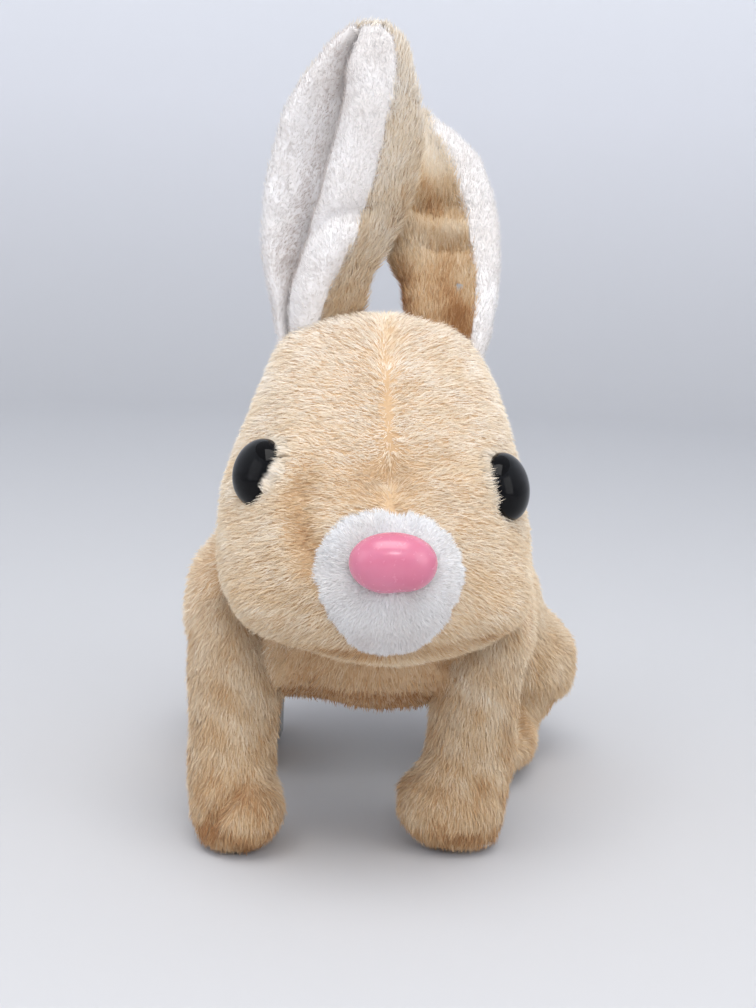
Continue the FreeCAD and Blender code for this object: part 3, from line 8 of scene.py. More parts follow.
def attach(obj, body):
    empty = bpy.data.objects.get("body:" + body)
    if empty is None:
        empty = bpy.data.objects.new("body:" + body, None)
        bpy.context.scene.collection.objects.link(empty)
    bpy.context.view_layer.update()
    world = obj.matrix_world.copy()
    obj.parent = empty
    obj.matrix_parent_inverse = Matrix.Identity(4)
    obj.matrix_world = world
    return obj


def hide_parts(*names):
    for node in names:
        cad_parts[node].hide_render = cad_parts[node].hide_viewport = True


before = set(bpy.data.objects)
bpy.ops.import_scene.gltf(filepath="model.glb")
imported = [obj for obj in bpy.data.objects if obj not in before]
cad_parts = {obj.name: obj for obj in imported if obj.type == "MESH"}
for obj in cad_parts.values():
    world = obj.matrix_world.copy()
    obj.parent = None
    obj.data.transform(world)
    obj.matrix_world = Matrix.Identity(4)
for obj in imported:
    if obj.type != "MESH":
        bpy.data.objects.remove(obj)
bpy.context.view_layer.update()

MM = 0.001
HEAD_TURN = math.radians(6)
HEAD_AXIS = np.array([0.0, -28.0, 0.0])
# Ellipsoids: rings, points round each, and the angle from the last ring to the pole.
BALL_ROWS = 20
BALL_AROUND = 32
POLE_GAP = 0.08
# Noise: how many waves are summed, and the factor that brings their sum to about -1 to 1.
WAVE_COUNT = 9
WAVE_SCALE = 1.6
CLOTH_FRAMES = 20
# The lowest point of a skin that stands on the floor, and of a strand.
SOLE_Z = 0.25
STRAND_Z = 0.05


# -------- plain mesh helpers

def spun(points, angle):
    """Millimetre points turned about the head's upright axis."""
    moved = np.asarray(points, float) - HEAD_AXIS
    c, s = math.cos(angle), math.sin(angle)
    out = moved.copy()
    out[..., 0] = moved[..., 0] * c - moved[..., 1] * s
    out[..., 1] = moved[..., 0] * s + moved[..., 1] * c
    return out + HEAD_AXIS


def turned(points):
    """Head-frame millimetres to row-frame millimetres."""
    return spun(points, HEAD_TURN)


def unturned(points):
    """Row-frame millimetres to head-frame millimetres."""
    return spun(points, -HEAD_TURN)


def linked(name, data):
    """A new object that holds the data, in the scene."""
    item = bpy.data.objects.new(name, data)
    bpy.context.scene.collection.objects.link(item)
    return item


def new_object(name, verts, faces):
    """An object from millimetre points and faces."""
    mesh = bpy.data.meshes.new(name)
    mesh.from_pydata((np.asarray(verts, float) * MM).tolist(), [], [list(f) for f in faces])
    mesh.update()
    return linked(name, mesh)


def loft_data(rings):
    """Points and faces of a closed form through rings of the same number of points."""
    rings = np.asarray(rings, float)
    count, around = rings.shape[:2]
    verts = rings.reshape(-1, 3)
    faces = []
    for i in range(count - 1):
        for j in range(around):
            k = (j + 1) % around
            faces.append((i * around + j, i * around + k, (i + 1) * around + k, (i + 1) * around + j))
    low, high = len(verts), len(verts) + 1
    verts = np.vstack([verts, rings[0].mean(0), rings[-1].mean(0)])
    for j in range(around):
        k = (j + 1) % around
        faces.append((low, k, j))
        faces.append((high, (count - 1) * around + j, (count - 1) * around + k))
    return verts, faces


def oval_ring(centre, half, axis, around=48, power=2.0):
    """A superellipse ring square to X, Y or Z."""
    angles = np.linspace(0, 2 * math.pi, around, endpoint=False)
    c, s = np.cos(angles), np.sin(angles)
    u = np.sign(c) * np.abs(c) ** (2 / power) * half[0]
    v = np.sign(s) * np.abs(s) ** (2 / power) * half[1]
    points = np.zeros((around, 3))
    others = [i for i in range(3) if i != axis]
    points[:, others[0]] = u
    points[:, others[1]] = v
    if axis == 1:
        points = points[::-1]
    return points + np.asarray(centre, float)


def spline_point(p0, p1, p2, p3, t):
    """A point between p1 and p2 of a smooth curve through all four, at t from 0 to 1."""
    return 0.5 * (2 * p1 + (p2 - p0) * t + (2 * p0 - 5 * p1 + 4 * p2 - p3) * t ** 2
                  + (3 * p1 - 3 * p2 + p3 - p0) * t ** 3)


def smooth_rows(table, count):
    """The rows of a table, sampled evenly through a smooth curve."""
    table = np.asarray(table, float)
    chord = np.r_[0, np.cumsum(np.linalg.norm(np.diff(table, axis=0), axis=1))]
    places = np.linspace(0, chord[-1], count)
    rows = np.zeros((count, table.shape[1]))
    for index, place in enumerate(places):
        i = int(np.clip(np.searchsorted(chord, place) - 1, 0, len(table) - 2))
        t = (place - chord[i]) / (chord[i + 1] - chord[i])
        before, after = max(i - 1, 0), min(i + 2, len(table) - 1)
        rows[index] = spline_point(table[before], table[i], table[i + 1], table[after], t)
    return rows


def chord_starts(points):
    """How far round a closed loop each control point comes, and the distance to the next one."""
    chord = np.linalg.norm(np.roll(points, -1, 0) - points, axis=1)
    return np.r_[0, np.cumsum(chord)], chord


def closed_curve(points, count):
    """A smooth closed loop through control points."""
    points = np.asarray(points, float)
    n = len(points)
    start, chord = chord_starts(points)
    out = []
    for place in np.linspace(0, start[-1], count, endpoint=False):
        i = int(np.searchsorted(start, place, side="right") - 1)
        t = (place - start[i]) / chord[i]
        out.append(spline_point(points[i - 1], points[i], points[(i + 1) % n], points[(i + 2) % n], t))
    return np.array(out)


def ball_data(centre, half):
    """An ellipsoid."""
    highest = math.pi / 2 - POLE_GAP
    rings = []
    for latitude in np.linspace(-highest, highest, BALL_ROWS):
        c, s = math.cos(latitude), math.sin(latitude)
        rings.append(oval_ring((0, 0, s * half[2]), (half[0] * c, half[1] * c), 2, BALL_AROUND))
    verts, faces = loft_data(rings)
    return verts + np.asarray(centre, float), faces


def joined(name, forms):
    """One object holding several closed forms."""
    verts, faces, base = [], [], 0
    for points, polygons in forms:
        verts.append(points)
        faces += [tuple(i + base for i in f) for f in polygons]
        base += len(points)
    return new_object(name, np.vstack(verts), faces)


def apply_modifiers(item):
    """The object's mesh becomes what its modifiers make of it."""
    graph = bpy.context.evaluated_depsgraph_get()
    mesh = bpy.data.meshes.new_from_object(item.evaluated_get(graph))
    old = item.data
    item.modifiers.clear()
    item.data = mesh
    bpy.data.meshes.remove(old)
    return item


def add_voxels(item, voxel):
    """A modifier that makes one even skin round all the forms."""
    remesh = item.modifiers.new("voxels", "REMESH")
    remesh.mode = "VOXEL"
    remesh.voxel_size = voxel * MM


def remeshed(item, voxel, rounds):
    """One even skin round all the forms, with the joins softened."""
    add_voxels(item, voxel)
    soften = item.modifiers.new("soften", "SMOOTH")
    soften.factor = 0.5
    soften.iterations = rounds
    return apply_modifiers(item)


def refined(item):
    """One subdivision."""
    finer = item.modifiers.new("finer", "SUBSURF")
    finer.levels = 1
    finer.render_levels = 1
    return apply_modifiers(item)


def points_of(item):
    """The object's vertices in millimetres."""
    co = np.zeros(len(item.data.vertices) * 3, np.float32)
    item.data.vertices.foreach_get("co", co)
    return co.reshape(-1, 3).astype(float) / MM


def normals_of(item):
    """The object's vertex normals."""
    no = np.zeros(len(item.data.vertices) * 3, np.float32)
    item.data.vertex_normals.foreach_get("vector", no)
    return no.reshape(-1, 3).astype(float)


def set_points(item, points):
    """Moves the object's vertices to millimetre points."""
    item.data.vertices.foreach_set("co", (np.asarray(points) * MM).astype(np.float32).ravel())
    item.data.update()


def shade_smooth(item):
    item.data.polygons.foreach_set("use_smooth", np.ones(len(item.data.polygons), bool))
    item.data.update()


def waves(points, length, seed):
    """Smooth noise from -1 to 1, about length millimetres from crest to crest."""
    rng = np.random.default_rng(seed)
    total = np.zeros(len(points))
    for _ in range(WAVE_COUNT):
        way = rng.normal(size=3)
        way /= np.linalg.norm(way)
        pitch = 2 * math.pi / (length * rng.uniform(0.7, 1.5))
        total += np.sin(points @ way * pitch + rng.uniform(0, 6.3))
    return total / WAVE_COUNT * WAVE_SCALE


def distance_to_path(points, path):
    """Distance of each point from a polyline."""
    path = np.asarray(path, float)
    best = np.full(len(points), 1e9)
    for a, b in zip(path[:-1], path[1:]):
        run = b - a
        t = np.clip((points - a) @ run / (run @ run), 0, 1)
        best = np.minimum(best, np.linalg.norm(points - (a + t[:, None] * run), axis=1))
    return best


def near(points, path, width):
    """1 on a path, falling to 0 over its width."""
    return np.exp(-(distance_to_path(points, path) / width) ** 2)


def near_point(points, centre, radii):
    """1 at a centre, falling to 0 over the radii."""
    return np.exp(-(((points - np.asarray(centre, float)) / np.asarray(radii, float)) ** 2).sum(1))


# -------- stuffing by cloth simulation

def stuffed(item, voxel, cap):
    """Swells a closed form as stuffing does, by cloth under pressure, each point moving at most cap."""
    add_voxels(item, voxel)
    apply_modifiers(item)
    before = points_of(item)
    cloth = item.modifiers.new("cloth", "CLOTH")
    cloth.settings.quality = 5
    cloth.settings.use_pressure = True
    cloth.settings.uniform_pressure_force = 3.0
    cloth.settings.effector_weights.gravity = 0
    cloth.settings.tension_stiffness = 25
    cloth.settings.compression_stiffness = 8
    cloth.settings.bending_stiffness = 0.2
    cloth.point_cache.frame_start = 1
    cloth.point_cache.frame_end = CLOTH_FRAMES
    for step in range(1, CLOTH_FRAMES + 1):
        bpy.context.scene.frame_set(step)
    apply_modifiers(item)
    moved = points_of(item) - before
    far = np.linalg.norm(moved, axis=1, keepdims=True)
    set_points(item, before + moved * np.minimum(1, cap / np.maximum(far, 1e-9)))
    bpy.context.scene.frame_set(1)
    return refined(item)


# -------- materials

# Patches of colour per metre, in every mottled material.
BROAD_NOISE = 60.0


def srgb(*colour):
    """Linear colour from 0 to 255 display values."""
    out = []
    for value in colour:
        value /= 255
        out.append(value / 12.92 if value <= 0.04045 else ((value + 0.055) / 1.055) ** 2.4)
    return (*out, 1.0)


def principled(name, colour, roughness, **sockets):
    """A material with a plain Principled shader, and that shader."""
    material = bpy.data.materials.new(name)
    material.use_nodes = True
    shader = material.node_tree.nodes["Principled BSDF"]
    shader.inputs["Base Color"].default_value = colour
    shader.inputs["Roughness"].default_value = roughness
    for socket, value in sockets.items():
        shader.inputs[socket.replace("_", " ")].default_value = value
    return material, shader


def noise_node(tree, scale, detail, coordinates):
    """Noise over the given coordinates."""
    node = tree.nodes.new("ShaderNodeTexNoise")
    node.inputs["Scale"].default_value = scale
    node.inputs["Detail"].default_value = detail
    tree.links.new(coordinates, node.inputs["Vector"])
    return node


def ramp_node(tree, source, stops):
    """Colours at the stops, driven by the source."""
    node = tree.nodes.new("ShaderNodeValToRGB")
    tree.links.new(source, node.inputs["Fac"])
    ramp = node.color_ramp
    ramp.elements[0].position, ramp.elements[0].color = stops[0]
    ramp.elements[1].position, ramp.elements[1].color = stops[-1]
    for position, colour in stops[1:-1]:
        ramp.elements.new(position).color = colour
    return node


def mottled(name, stops, roughness, grain, bump, rough_spread=0.12, **sockets):
    """A material whose colour, roughness and fine bump vary. grain is per metre, bump in millimetres."""
    material, shader = principled(name, stops[0][1], roughness, **sockets)
    tree = material.node_tree
    coordinates = tree.nodes.new("ShaderNodeTexCoord").outputs["Object"]
    broad = noise_node(tree, BROAD_NOISE, 4, coordinates)
    colour = ramp_node(tree, broad.outputs["Fac"], stops).outputs["Color"]
    tree.links.new(colour, shader.inputs["Base Color"])
    fine = noise_node(tree, grain, 3, coordinates)
    gloss = tree.nodes.new("ShaderNodeMapRange")
    gloss.inputs["To Min"].default_value = max(0.02, roughness - rough_spread)
    gloss.inputs["To Max"].default_value = min(1.0, roughness + rough_spread)
    tree.links.new(fine.outputs["Fac"], gloss.inputs["Value"])
    tree.links.new(gloss.outputs["Result"], shader.inputs["Roughness"])
    bump_node = tree.nodes.new("ShaderNodeBump")
    bump_node.inputs["Strength"].default_value = 0.6
    bump_node.inputs["Distance"].default_value = bump * MM
    tree.links.new(fine.outputs["Fac"], bump_node.inputs["Height"])
    tree.links.new(bump_node.outputs["Normal"], shader.inputs["Normal"])
    return material


def strand_materials(name, colours):
    """Plain pile colours, one material for each."""
    return [principled("%s_%d" % (name, i), colour, 0.72, Sheen_Weight=0.35, Sheen_Roughness=0.4,
                       Specular_IOR_Level=0.25)[0]
            for i, colour in enumerate(colours)]


# Pile shades, darkest first. Besides the pile's own random tone, the tone functions pick the darker, more
# golden shades for painted shade and the palest for painted light.
TAN_TONES = [srgb(172, 124, 80), srgb(204, 164, 120), srgb(222, 194, 156), srgb(233, 212, 182),
             srgb(241, 226, 203), srgb(247, 236, 220), srgb(250, 243, 232)]
WHITE_TONES = [srgb(208, 194, 186), srgb(219, 209, 204), srgb(229, 223, 220), srgb(236, 232, 230),
               srgb(242, 240, 239), srgb(248, 248, 249)]

tan_pile = strand_materials("tan_pile", TAN_TONES)
white_pile = strand_materials("white_pile", WHITE_TONES)
# The tan backing is darker than the pile: painted shade where it shows between the strands, as along the
# seam.
tan_skin = mottled("tan_backing", [(0.3, srgb(196, 160, 120)), (0.7, srgb(216, 184, 146))],
                   0.85, 1500, 0.5, Sheen_Weight=0.3)
white_skin = mottled("white_backing", [(0.3, srgb(226, 220, 216)), (0.7, srgb(244, 242, 242))],
                     0.85, 1500, 0.4, Sheen_Weight=0.3)


# -------- pile

# How far strands swing together, over clumps of this length, and the length over which their lean varies.
RUFFLE = 0.3
CLUMP_LENGTH = 5.0
LEAN_LENGTH = 7.0
ROOT_DEPTH = 0.3


def surface_of(item):
    """A mesh's points and normals, and its triangles' corners, areas and source polygons, in millimetres."""
    mesh = item.data
    mesh.calc_loop_triangles()
    count = len(mesh.loop_triangles)
    corners = np.zeros(count * 3, np.int32)
    mesh.loop_triangles.foreach_get("vertices", corners)
    corners = corners.reshape(-1, 3)
    polygons = np.zeros(count, np.int32)
    mesh.loop_triangles.foreach_get("polygon_index", polygons)
    points, normals = points_of(item), normals_of(item)
    a, b, c = (points[corners[:, i]] for i in range(3))
    areas = np.linalg.norm(np.cross(b - a, c - a), axis=1) / 2
    return points, normals, corners, areas, polygons


def unit(vectors):
    """Rows scaled to a length of 1."""
    return vectors / np.maximum(np.linalg.norm(vectors, axis=1, keepdims=True), 1e-9)


def strand_roots(skin, count, allowed, keep, rng):
    """Random places over a skin, by area, and the skin's normal at each."""
    points, normals, corners, areas, polygons = surface_of(skin)
    if allowed is not None:
        areas = areas * allowed[polygons]
    total = np.cumsum(areas)
    chosen = np.searchsorted(total, rng.uniform(0, total[-1], count))
    chosen = np.minimum(chosen, len(total) - 1)
    r1, r2 = np.sqrt(rng.uniform(size=count)), rng.uniform(size=count)
    weights = np.stack([1 - r1, r1 * (1 - r2), r1 * r2], 1)
    root = (points[corners[chosen]] * weights[:, :, None]).sum(1)
    up = unit((normals[corners[chosen]] * weights[:, :, None]).sum(1))
    if keep is None:
        return root, up
    kept = keep(root, up) > rng.uniform(size=count)
    return root[kept], up[kept]


def strand_points(root, up, way, length, width, lean, seed, rng):
    """Five points for each strand: two at its foot, two at its middle and one at its tip."""
    count = len(root)
    way = unit(way - (way * up).sum(1, keepdims=True) * up)
    across = np.cross(up, way)
    clump = waves(root, CLUMP_LENGTH, seed + 1) * RUFFLE + rng.normal(scale=0.22, size=count)
    way = unit(way + across * clump[:, None])
    across = np.cross(up, way)
    rise = np.radians(lean + rng.normal(scale=8.0, size=count) + 6 * waves(root, LEAN_LENGTH, seed + 2))
    rise = np.clip(rise, 0.08, 1.4)[:, None]
    aim = way * np.cos(rise) + up * np.sin(rise)
    long = (length * rng.uniform(0.65, 1.15, size=count))[:, None]
    thick = (width * rng.uniform(0.75, 1.25, size=count))[:, None] / 2
    roll = rng.normal(scale=0.5, size=count)[:, None]
    side = unit(across * np.cos(roll) + np.cross(aim, across) * np.sin(roll))
    base = root - up * ROOT_DEPTH
    middle = base + aim * long * 0.55
    tip = base + aim * long * 0.95 + (way - up * 0.6) * long * 0.12
    points = np.stack([base - side * thick, base + side * thick, middle - side * thick * 0.75,
                       middle + side * thick * 0.75, tip], 1).reshape(-1, 3)
    points[:, 2] = np.maximum(points[:, 2], STRAND_Z)
    return points


def strand_mesh(name, points, materials, index):
    """A mesh of strands, a quad and a triangle each. index is each strand's material."""
    count = len(points) // 5
    first = np.arange(count, dtype=np.int32) * 5
    loops = np.stack([first, first + 1, first + 3, first + 2, first + 2, first + 3, first + 4], 1).ravel()
    starts = np.stack([np.arange(count) * 7, np.arange(count) * 7 + 4], 1).ravel().astype(np.int32)
    mesh = bpy.data.meshes.new(name)
    mesh.vertices.add(len(points))
    mesh.vertices.foreach_set("co", (points * MM).astype(np.float32).ravel())
    mesh.loops.add(len(loops))
    mesh.loops.foreach_set("vertex_index", loops)
    mesh.polygons.add(len(starts))
    mesh.polygons.foreach_set("loop_start", starts)
    for material in materials:
        mesh.materials.append(material)
    mesh.polygons.foreach_set("material_index", np.repeat(index, 2).astype(np.int32))
    mesh.polygons.foreach_set("use_smooth", np.ones(len(starts), bool))
    mesh.update(calc_edges=True)
    return mesh


def pile(name, skin, body, count, length, lean, comb, tone, materials, seed, keep=None, width=0.17,
         allowed=None):
    """Fine tapered strands on a skin, in millimetres and degrees.

    comb gives their way, tone their shade from 0 to 1, keep where they grow, and allowed weighs the polygons.
    """
    rng = np.random.default_rng(seed)
    root, up = strand_roots(skin, count, allowed, keep, rng)
    points = strand_points(root, up, comb(root, up), length, width, lean, seed, rng)
    shade = np.clip(tone(root, up), 0, 1) + rng.normal(scale=0.07, size=len(root))
    index = np.clip((shade * len(materials)).astype(int), 0, len(materials) - 1)
    item = linked(name, strand_mesh(name, points, materials, index))
    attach(item, body)
    return item


def finish_skin(item, material, body, slot, fill, *nodes):
    """Material, smooth shading, body and the CAD nodes that a soft piece stands for. slot is not used."""
    item.data.materials.clear()
    item.data.materials.append(material)
    shade_smooth(item)
    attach(item, body)
    if nodes:
        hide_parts(*nodes)
    return item


# -------- head

# How far the pile stands out from a skin.
FUR = 1.9
# Height, middle X and Y, and half width and depth of the head, pile included.
HEAD_SECTIONS = [
    (51, 0, -46, 12, 15), (57, 0, -45, 28, 32), (65, -0.3, -42, 37.8, 40), (73, -1.4, -41, 39.2, 42),
    (82, -1.4, -39.5, 38.6, 41.5), (90, -1.5, -37.8, 37.4, 39.5), (97, -1.4, -35.5, 35.8, 37),
    (105, -0.9, -32.5, 33.4, 33.6), (112, -0.8, -29.8, 30.6, 29.6), (119, -1, -27.5, 27.6, 25),
    (124.5, -1.2, -26, 24.6, 19.3), (128, -1.2, -26, 20, 13.4), (130.2, -0.6, -26.5, 11, 6.5),
    (130.8, -0.6, -26.5, 3, 2),
]
# Side, middle of the seat, and how far round from the front each eye looks, in degrees.
EYES = ((-1, (-29.4, -58.1, 95.0), 52), (1, (28.6, -58.3, 93.4), 61))
# How far each eye looks up, the depth of its rim in the skin, its radius and the height of its dome.
EYE_RISE = 0.26
EYE_DEPTH = 1.2
EYE_RADIUS = 8.1
EYE_DOME = 5.2
MUZZLE = (0.9, -70.5, 73.5)
MUZZLE_HALF = (17.3, 13.2, 16.8)
CHEEK_HALF = (14.5, 17.5, 12.5)
BROW = (-0.9, -72, 96)
FOREHEAD_SEAM = [(0.6, -22, 129), (0.6, -35, 128), (0.3, -52, 119), (-0.3, -65, 107), BROW]
BROW_CREASE = [(1.5, -72, 99.5), (9, -70.5, 101), (21, -64.4, 100)]
CHEEK_FOLD = [(-15.2, -68.6, 104), (-18.6, -70.5, 93), (-17.5, -75, 84), (-13.6, -80, 76)]
CHIN_LINES = [
    [(-39, -41, 62), (-32.5, -56.8, 58), (-18.4, -68.3, 54.5), (-0.9, -78, 56)],
    [(-0.9, -78, 56), (19.5, -72.3, 57.5), (32.5, -58.6, 60.5)],
]


def head_form():
    """The head with its muzzle and cheeks as one smooth form."""
    rings = []
    for z, x, y, half_x, half_y in smooth_rows(HEAD_SECTIONS, 44):
        rings.append(oval_ring((x, y, z), (max(half_x - FUR, 1.5), max(half_y - FUR, 1.5)), 2, 64, 2.15))
    cheeks = [ball_data((side * 20.5, -57, 68), CHEEK_HALF) for side in (-1, 1)]
    item = joined("head_plush", [loft_data(rings), ball_data(MUZZLE, MUZZLE_HALF), *cheeks])
    return remeshed(item, 1.35, 9)


def sculpt_head(item):
    """Seams, folds, eye seats and small lumps of a stuffed head."""
    points, normals = points_of(item), normals_of(item)
    push = -1.0 * near(points, FOREHEAD_SEAM, 1.4) * (points[:, 1] < -18)
    push -= 1.7 * near(points, BROW_CREASE, 2.6)
    push -= 2.2 * near(points, CHEEK_FOLD, 2.8)
    push += 0.9 * near(points, [(p[0] - 5.5, p[1] + 3, p[2] - 1) for p in CHEEK_FOLD], 4.5)
    push += 0.8 * near(points, [(p[0], p[1], p[2] - 6) for p in BROW_CREASE], 4)
    push -= 2.0 * near_point(points, BROW, (6, 8, 4.5))
    for line in CHIN_LINES:
        push -= 1.6 * near(points, line, 3.0)
    for side, eye, _ in EYES:
        push -= 1.6 * near_point(points, (eye[0] * 1.05, eye[1] + 2, eye[2]), (9, 9, 9))
        push += 1.5 * near_point(points, (eye[0] - side * 8.5, eye[1] - 8.5, eye[2]), (6, 7, 11))
    push += 0.5 * waves(points, 26, 11) + 0.25 * waves(points, 11, 12)
    set_points(item, points + normals * push[:, None])


def head_tone_and_shading(root, up):
    """Painted light and shade over some random tone: paler on top where the light falls, and painted shade
    low on the cheeks, along the seam and in the folds and creases.
    """
    tone = 0.60 + 0.0042 * (root[:, 2] - 88)
    tone -= 0.2 * near(root, FOREHEAD_SEAM, 1.3)
    tone -= 0.30 * near(root, BROW_CREASE, 2.6)
    tone -= 0.36 * near(root, CHEEK_FOLD, 3.0)
    tone -= 0.22 * near_point(root, BROW, (6, 9, 5))
    for line in CHIN_LINES:
        tone -= 0.36 * near(root, line, 3.6)
    return tone + 0.10 * waves(root, 9, 21) + 0.05 * waves(root, 3, 22)


def head_comb(root, up):
    """From the seam outwards, and down over the cheeks."""
    way = np.zeros_like(root)
    way[:, 0] = np.tanh(root[:, 0] / 7) * 1.2
    way[:, 1] = 0.35
    way[:, 2] = -0.35 - 0.5 * np.clip((85 - root[:, 2]) / 20, 0, 1)
    return way


# The tan pile stops at this share of the white patch.
PATCH_INSET = 1 - 0.5 / 16


def head_keep(root, up):
    """No pile under the nose patch, the eyes or the ear roots."""
    keep = np.ones(len(root))
    keep[(muzzle_share(root) < PATCH_INSET) & (root[:, 1] < -66)] = 0
    for _, eye, _ in EYES:
        keep[np.linalg.norm(root - np.asarray(eye), axis=1) < 7.0] = 0
    return keep


# Middle of the white patch, X and Z.
OUTLINE_CENTRE = np.array([0.6, 74.3])


def muzzle_outline():
    """The white patch from the front: X and Z of a rounded shield."""
    control = [(1.2, 90.3), (7.5, 89.8), (13.6, 86), (17.3, 79), (16.9, 72), (12.8, 64.5), (7, 59),
               (0.5, 57.3), (-6, 59.6), (-11.8, 66), (-15.4, 74), (-15.3, 81.5), (-11.2, 87.4), (-4.5, 90.5)]
    return closed_curve((np.array(control) - (1, 74.5)) * 0.945 + OUTLINE_CENTRE, 72)


OUTLINE = muzzle_outline()


def muzzle_share(points):
    """0 at the middle of the white patch, 1 on its edge, more outside."""
    flat = points[:, [0, 2]] - OUTLINE_CENTRE
    edge = OUTLINE - OUTLINE_CENTRE
    edge_angle = np.arctan2(edge[:, 1], edge[:, 0])
    order = np.argsort(edge_angle)
    reach = np.interp(np.arctan2(flat[:, 1], flat[:, 0]), edge_angle[order],
                      np.linalg.norm(edge, axis=1)[order], period=2 * math.pi)
    return np.linalg.norm(flat, axis=1) / reach


def patch_of(name, skin, chosen, thickness, lift):
    """A closed padded patch over chosen polygons of a skin. lift gives how far each point stands out."""
    points, normals = points_of(skin), normals_of(skin)
    mesh = skin.data
    polygons = [tuple(mesh.polygons[i].vertices) for i in np.nonzero(chosen)[0]]
    used = sorted({v for polygon in polygons for v in polygon})
    number = {v: i for i, v in enumerate(used)}
    top = points[used] + normals[used] * lift(points[used])[:, None]
    bottom = points[used] - normals[used] * thickness
    count = len(used)
    faces = [tuple(number[v] for v in polygon) for polygon in polygons]
    edges = dict.fromkeys((a, b) for polygon in faces for a, b in zip(polygon, polygon[1:] + polygon[:1]))
    rim = [(b, a, a + count, b + count) for a, b in edges if (b, a) not in edges]
    under = [tuple(v + count for v in reversed(polygon)) for polygon in faces]
    return new_object(name, np.vstack([top, bottom]), faces + under + rim)


def polygon_centres(item):
    """The middle of each polygon in millimetres."""
    centres = np.zeros(len(item.data.polygons) * 3, np.float32)
    item.data.polygons.foreach_get("center", centres)
    return centres.reshape(-1, 3).astype(float) / MM


def make_head():
    """The head's skin and white patch, both with their pile."""
    head = stuffed(head_form(), 4.0, 0.8)
    sculpt_head(head)
    head = head
    centres = polygon_centres(head)
    white = (muzzle_share(centres) < 1.0) & (centres[:, 1] < -62)
    muzzle = refined(patch_of("muzzle_plush", head, white, 0.8, muzzle_lift))
    fur = [
        pile("head_fur_a", head, "root", 62000, 2.9, 30, head_comb, head_tone_and_shading, tan_pile, 31, head_keep),
        pile("head_fur_b", head, "root", 62000, 2.5, 44, head_comb, head_tone_and_shading, tan_pile, 32, head_keep),
        pile("eye_fringe", head, "root", 6000, 3.6, 46, fringe_comb, fringe_tone, tan_pile, 34, fringe_keep,
             allowed=eye_rims(centres)),
        pile("muzzle_fur", muzzle, "root", 40000, 1.7, 52, muzzle_comb, muzzle_tone_and_light, white_pile, 33,
             muzzle_keep, width=0.16),
    ]
    for item in (head, muzzle, *fur):
        set_points(item, turned(points_of(item)))
    finish_skin(head, tan_skin, "root", "plush_tan", 0.8, "head_skin")
    finish_skin(muzzle, white_skin, "root", "plush_white", 0.8, "muzzle_patch")


def eye_rims(points):
    """1 on the inner rim of each eye seat, 0 elsewhere."""
    rims = np.zeros(len(points))
    for side, eye, _ in EYES:
        away = points - np.asarray(eye)
        far = np.linalg.norm(away, axis=1)
        rims[(far > 5.5) & (far < 10.5) & (away[:, 0] * side < -3.0) & (away[:, 2] > -4)] = 1
    return rims


def fringe_keep(root, up):
    """Clear of the white patch."""
    return 1.0 - (muzzle_share(root) < 1.05)


def fringe_tone(root, up):
    """A little paler than the head."""
    return head_tone_and_shading(root, up) + 0.1


def fringe_comb(root, up):
    """Over the edge of the eye."""
    way = np.zeros_like(root)
    for side, eye, _ in EYES:
        chosen = root[:, 0] * side > 0
        way[chosen] = np.asarray(eye) - root[chosen]
    return way


def muzzle_lift(points):
    """How far the white patch stands out: crowned in the middle, thin at its edge."""
    return 0.2 + 1.5 * np.sqrt(np.clip(1 - muzzle_share(points) ** 3, 0, 1))


def muzzle_keep(root, up):
    """On the outer face only."""
    return (up[:, 1] < 0.3).astype(float)


def muzzle_comb(root, up):
    """Away from the middle, and a little down."""
    way = root - np.array([1.0, -90, 74.5])
    way[:, 1] = 0
    way[:, 2] -= 2
    return way


def muzzle_tone_and_light(root, up):
    """Whiter towards the top, a painted light from above, over some random tone."""
    return 0.72 + 0.012 * (root[:, 2] - 74) + 0.15 * waves(root, 8, 41)


# -------- nose and eyes

NOSE = np.array([0.8, -84.6, 80.0])
NOSE_HALF = (9.5, 6.7)
NOSE_DEPTH = 5.6
NOSE_RIM = 1.2


def make_nose():
    """A glossy moulded pad with a shallow notch below."""
    rings = []
    for angle in np.linspace(0, 1, 18) * math.pi / 2:
        out = math.sin(angle) ** 0.85
        half = [h * out + 0.02 for h in NOSE_HALF]
        ring = oval_ring((0, 0, 0), half, 1, 48, 2.08)
        low = ring[:, 2] < 0
        ring[low, 2] += 0.5 * np.exp(-((ring[low, 0] - 1.5) / 2.6) ** 2) * out
        ring[:, 1] = -NOSE_DEPTH * math.cos(angle)
        rings.append(ring)
    rings.append(rings[-1] + np.array([0, NOSE_RIM, 0]))
    verts, faces = loft_data(rings)
    nose = new_object("nose_pad", turned(verts + NOSE), faces)
    pink = mottled("pink_plastic", [(0.35, srgb(206, 110, 138)), (0.65, srgb(214, 124, 150))],
                   0.26, 900, 0.02, rough_spread=0.05, Coat_Weight=0.5, Coat_Roughness=0.2,
                   Subsurface_Weight=0.12, Subsurface_Scale=0.004)
    nose = refined(nose)
    shade_smooth(nose)
    nose.data.materials.append(pink)
    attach(nose, "nose_body")
    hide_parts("nose")


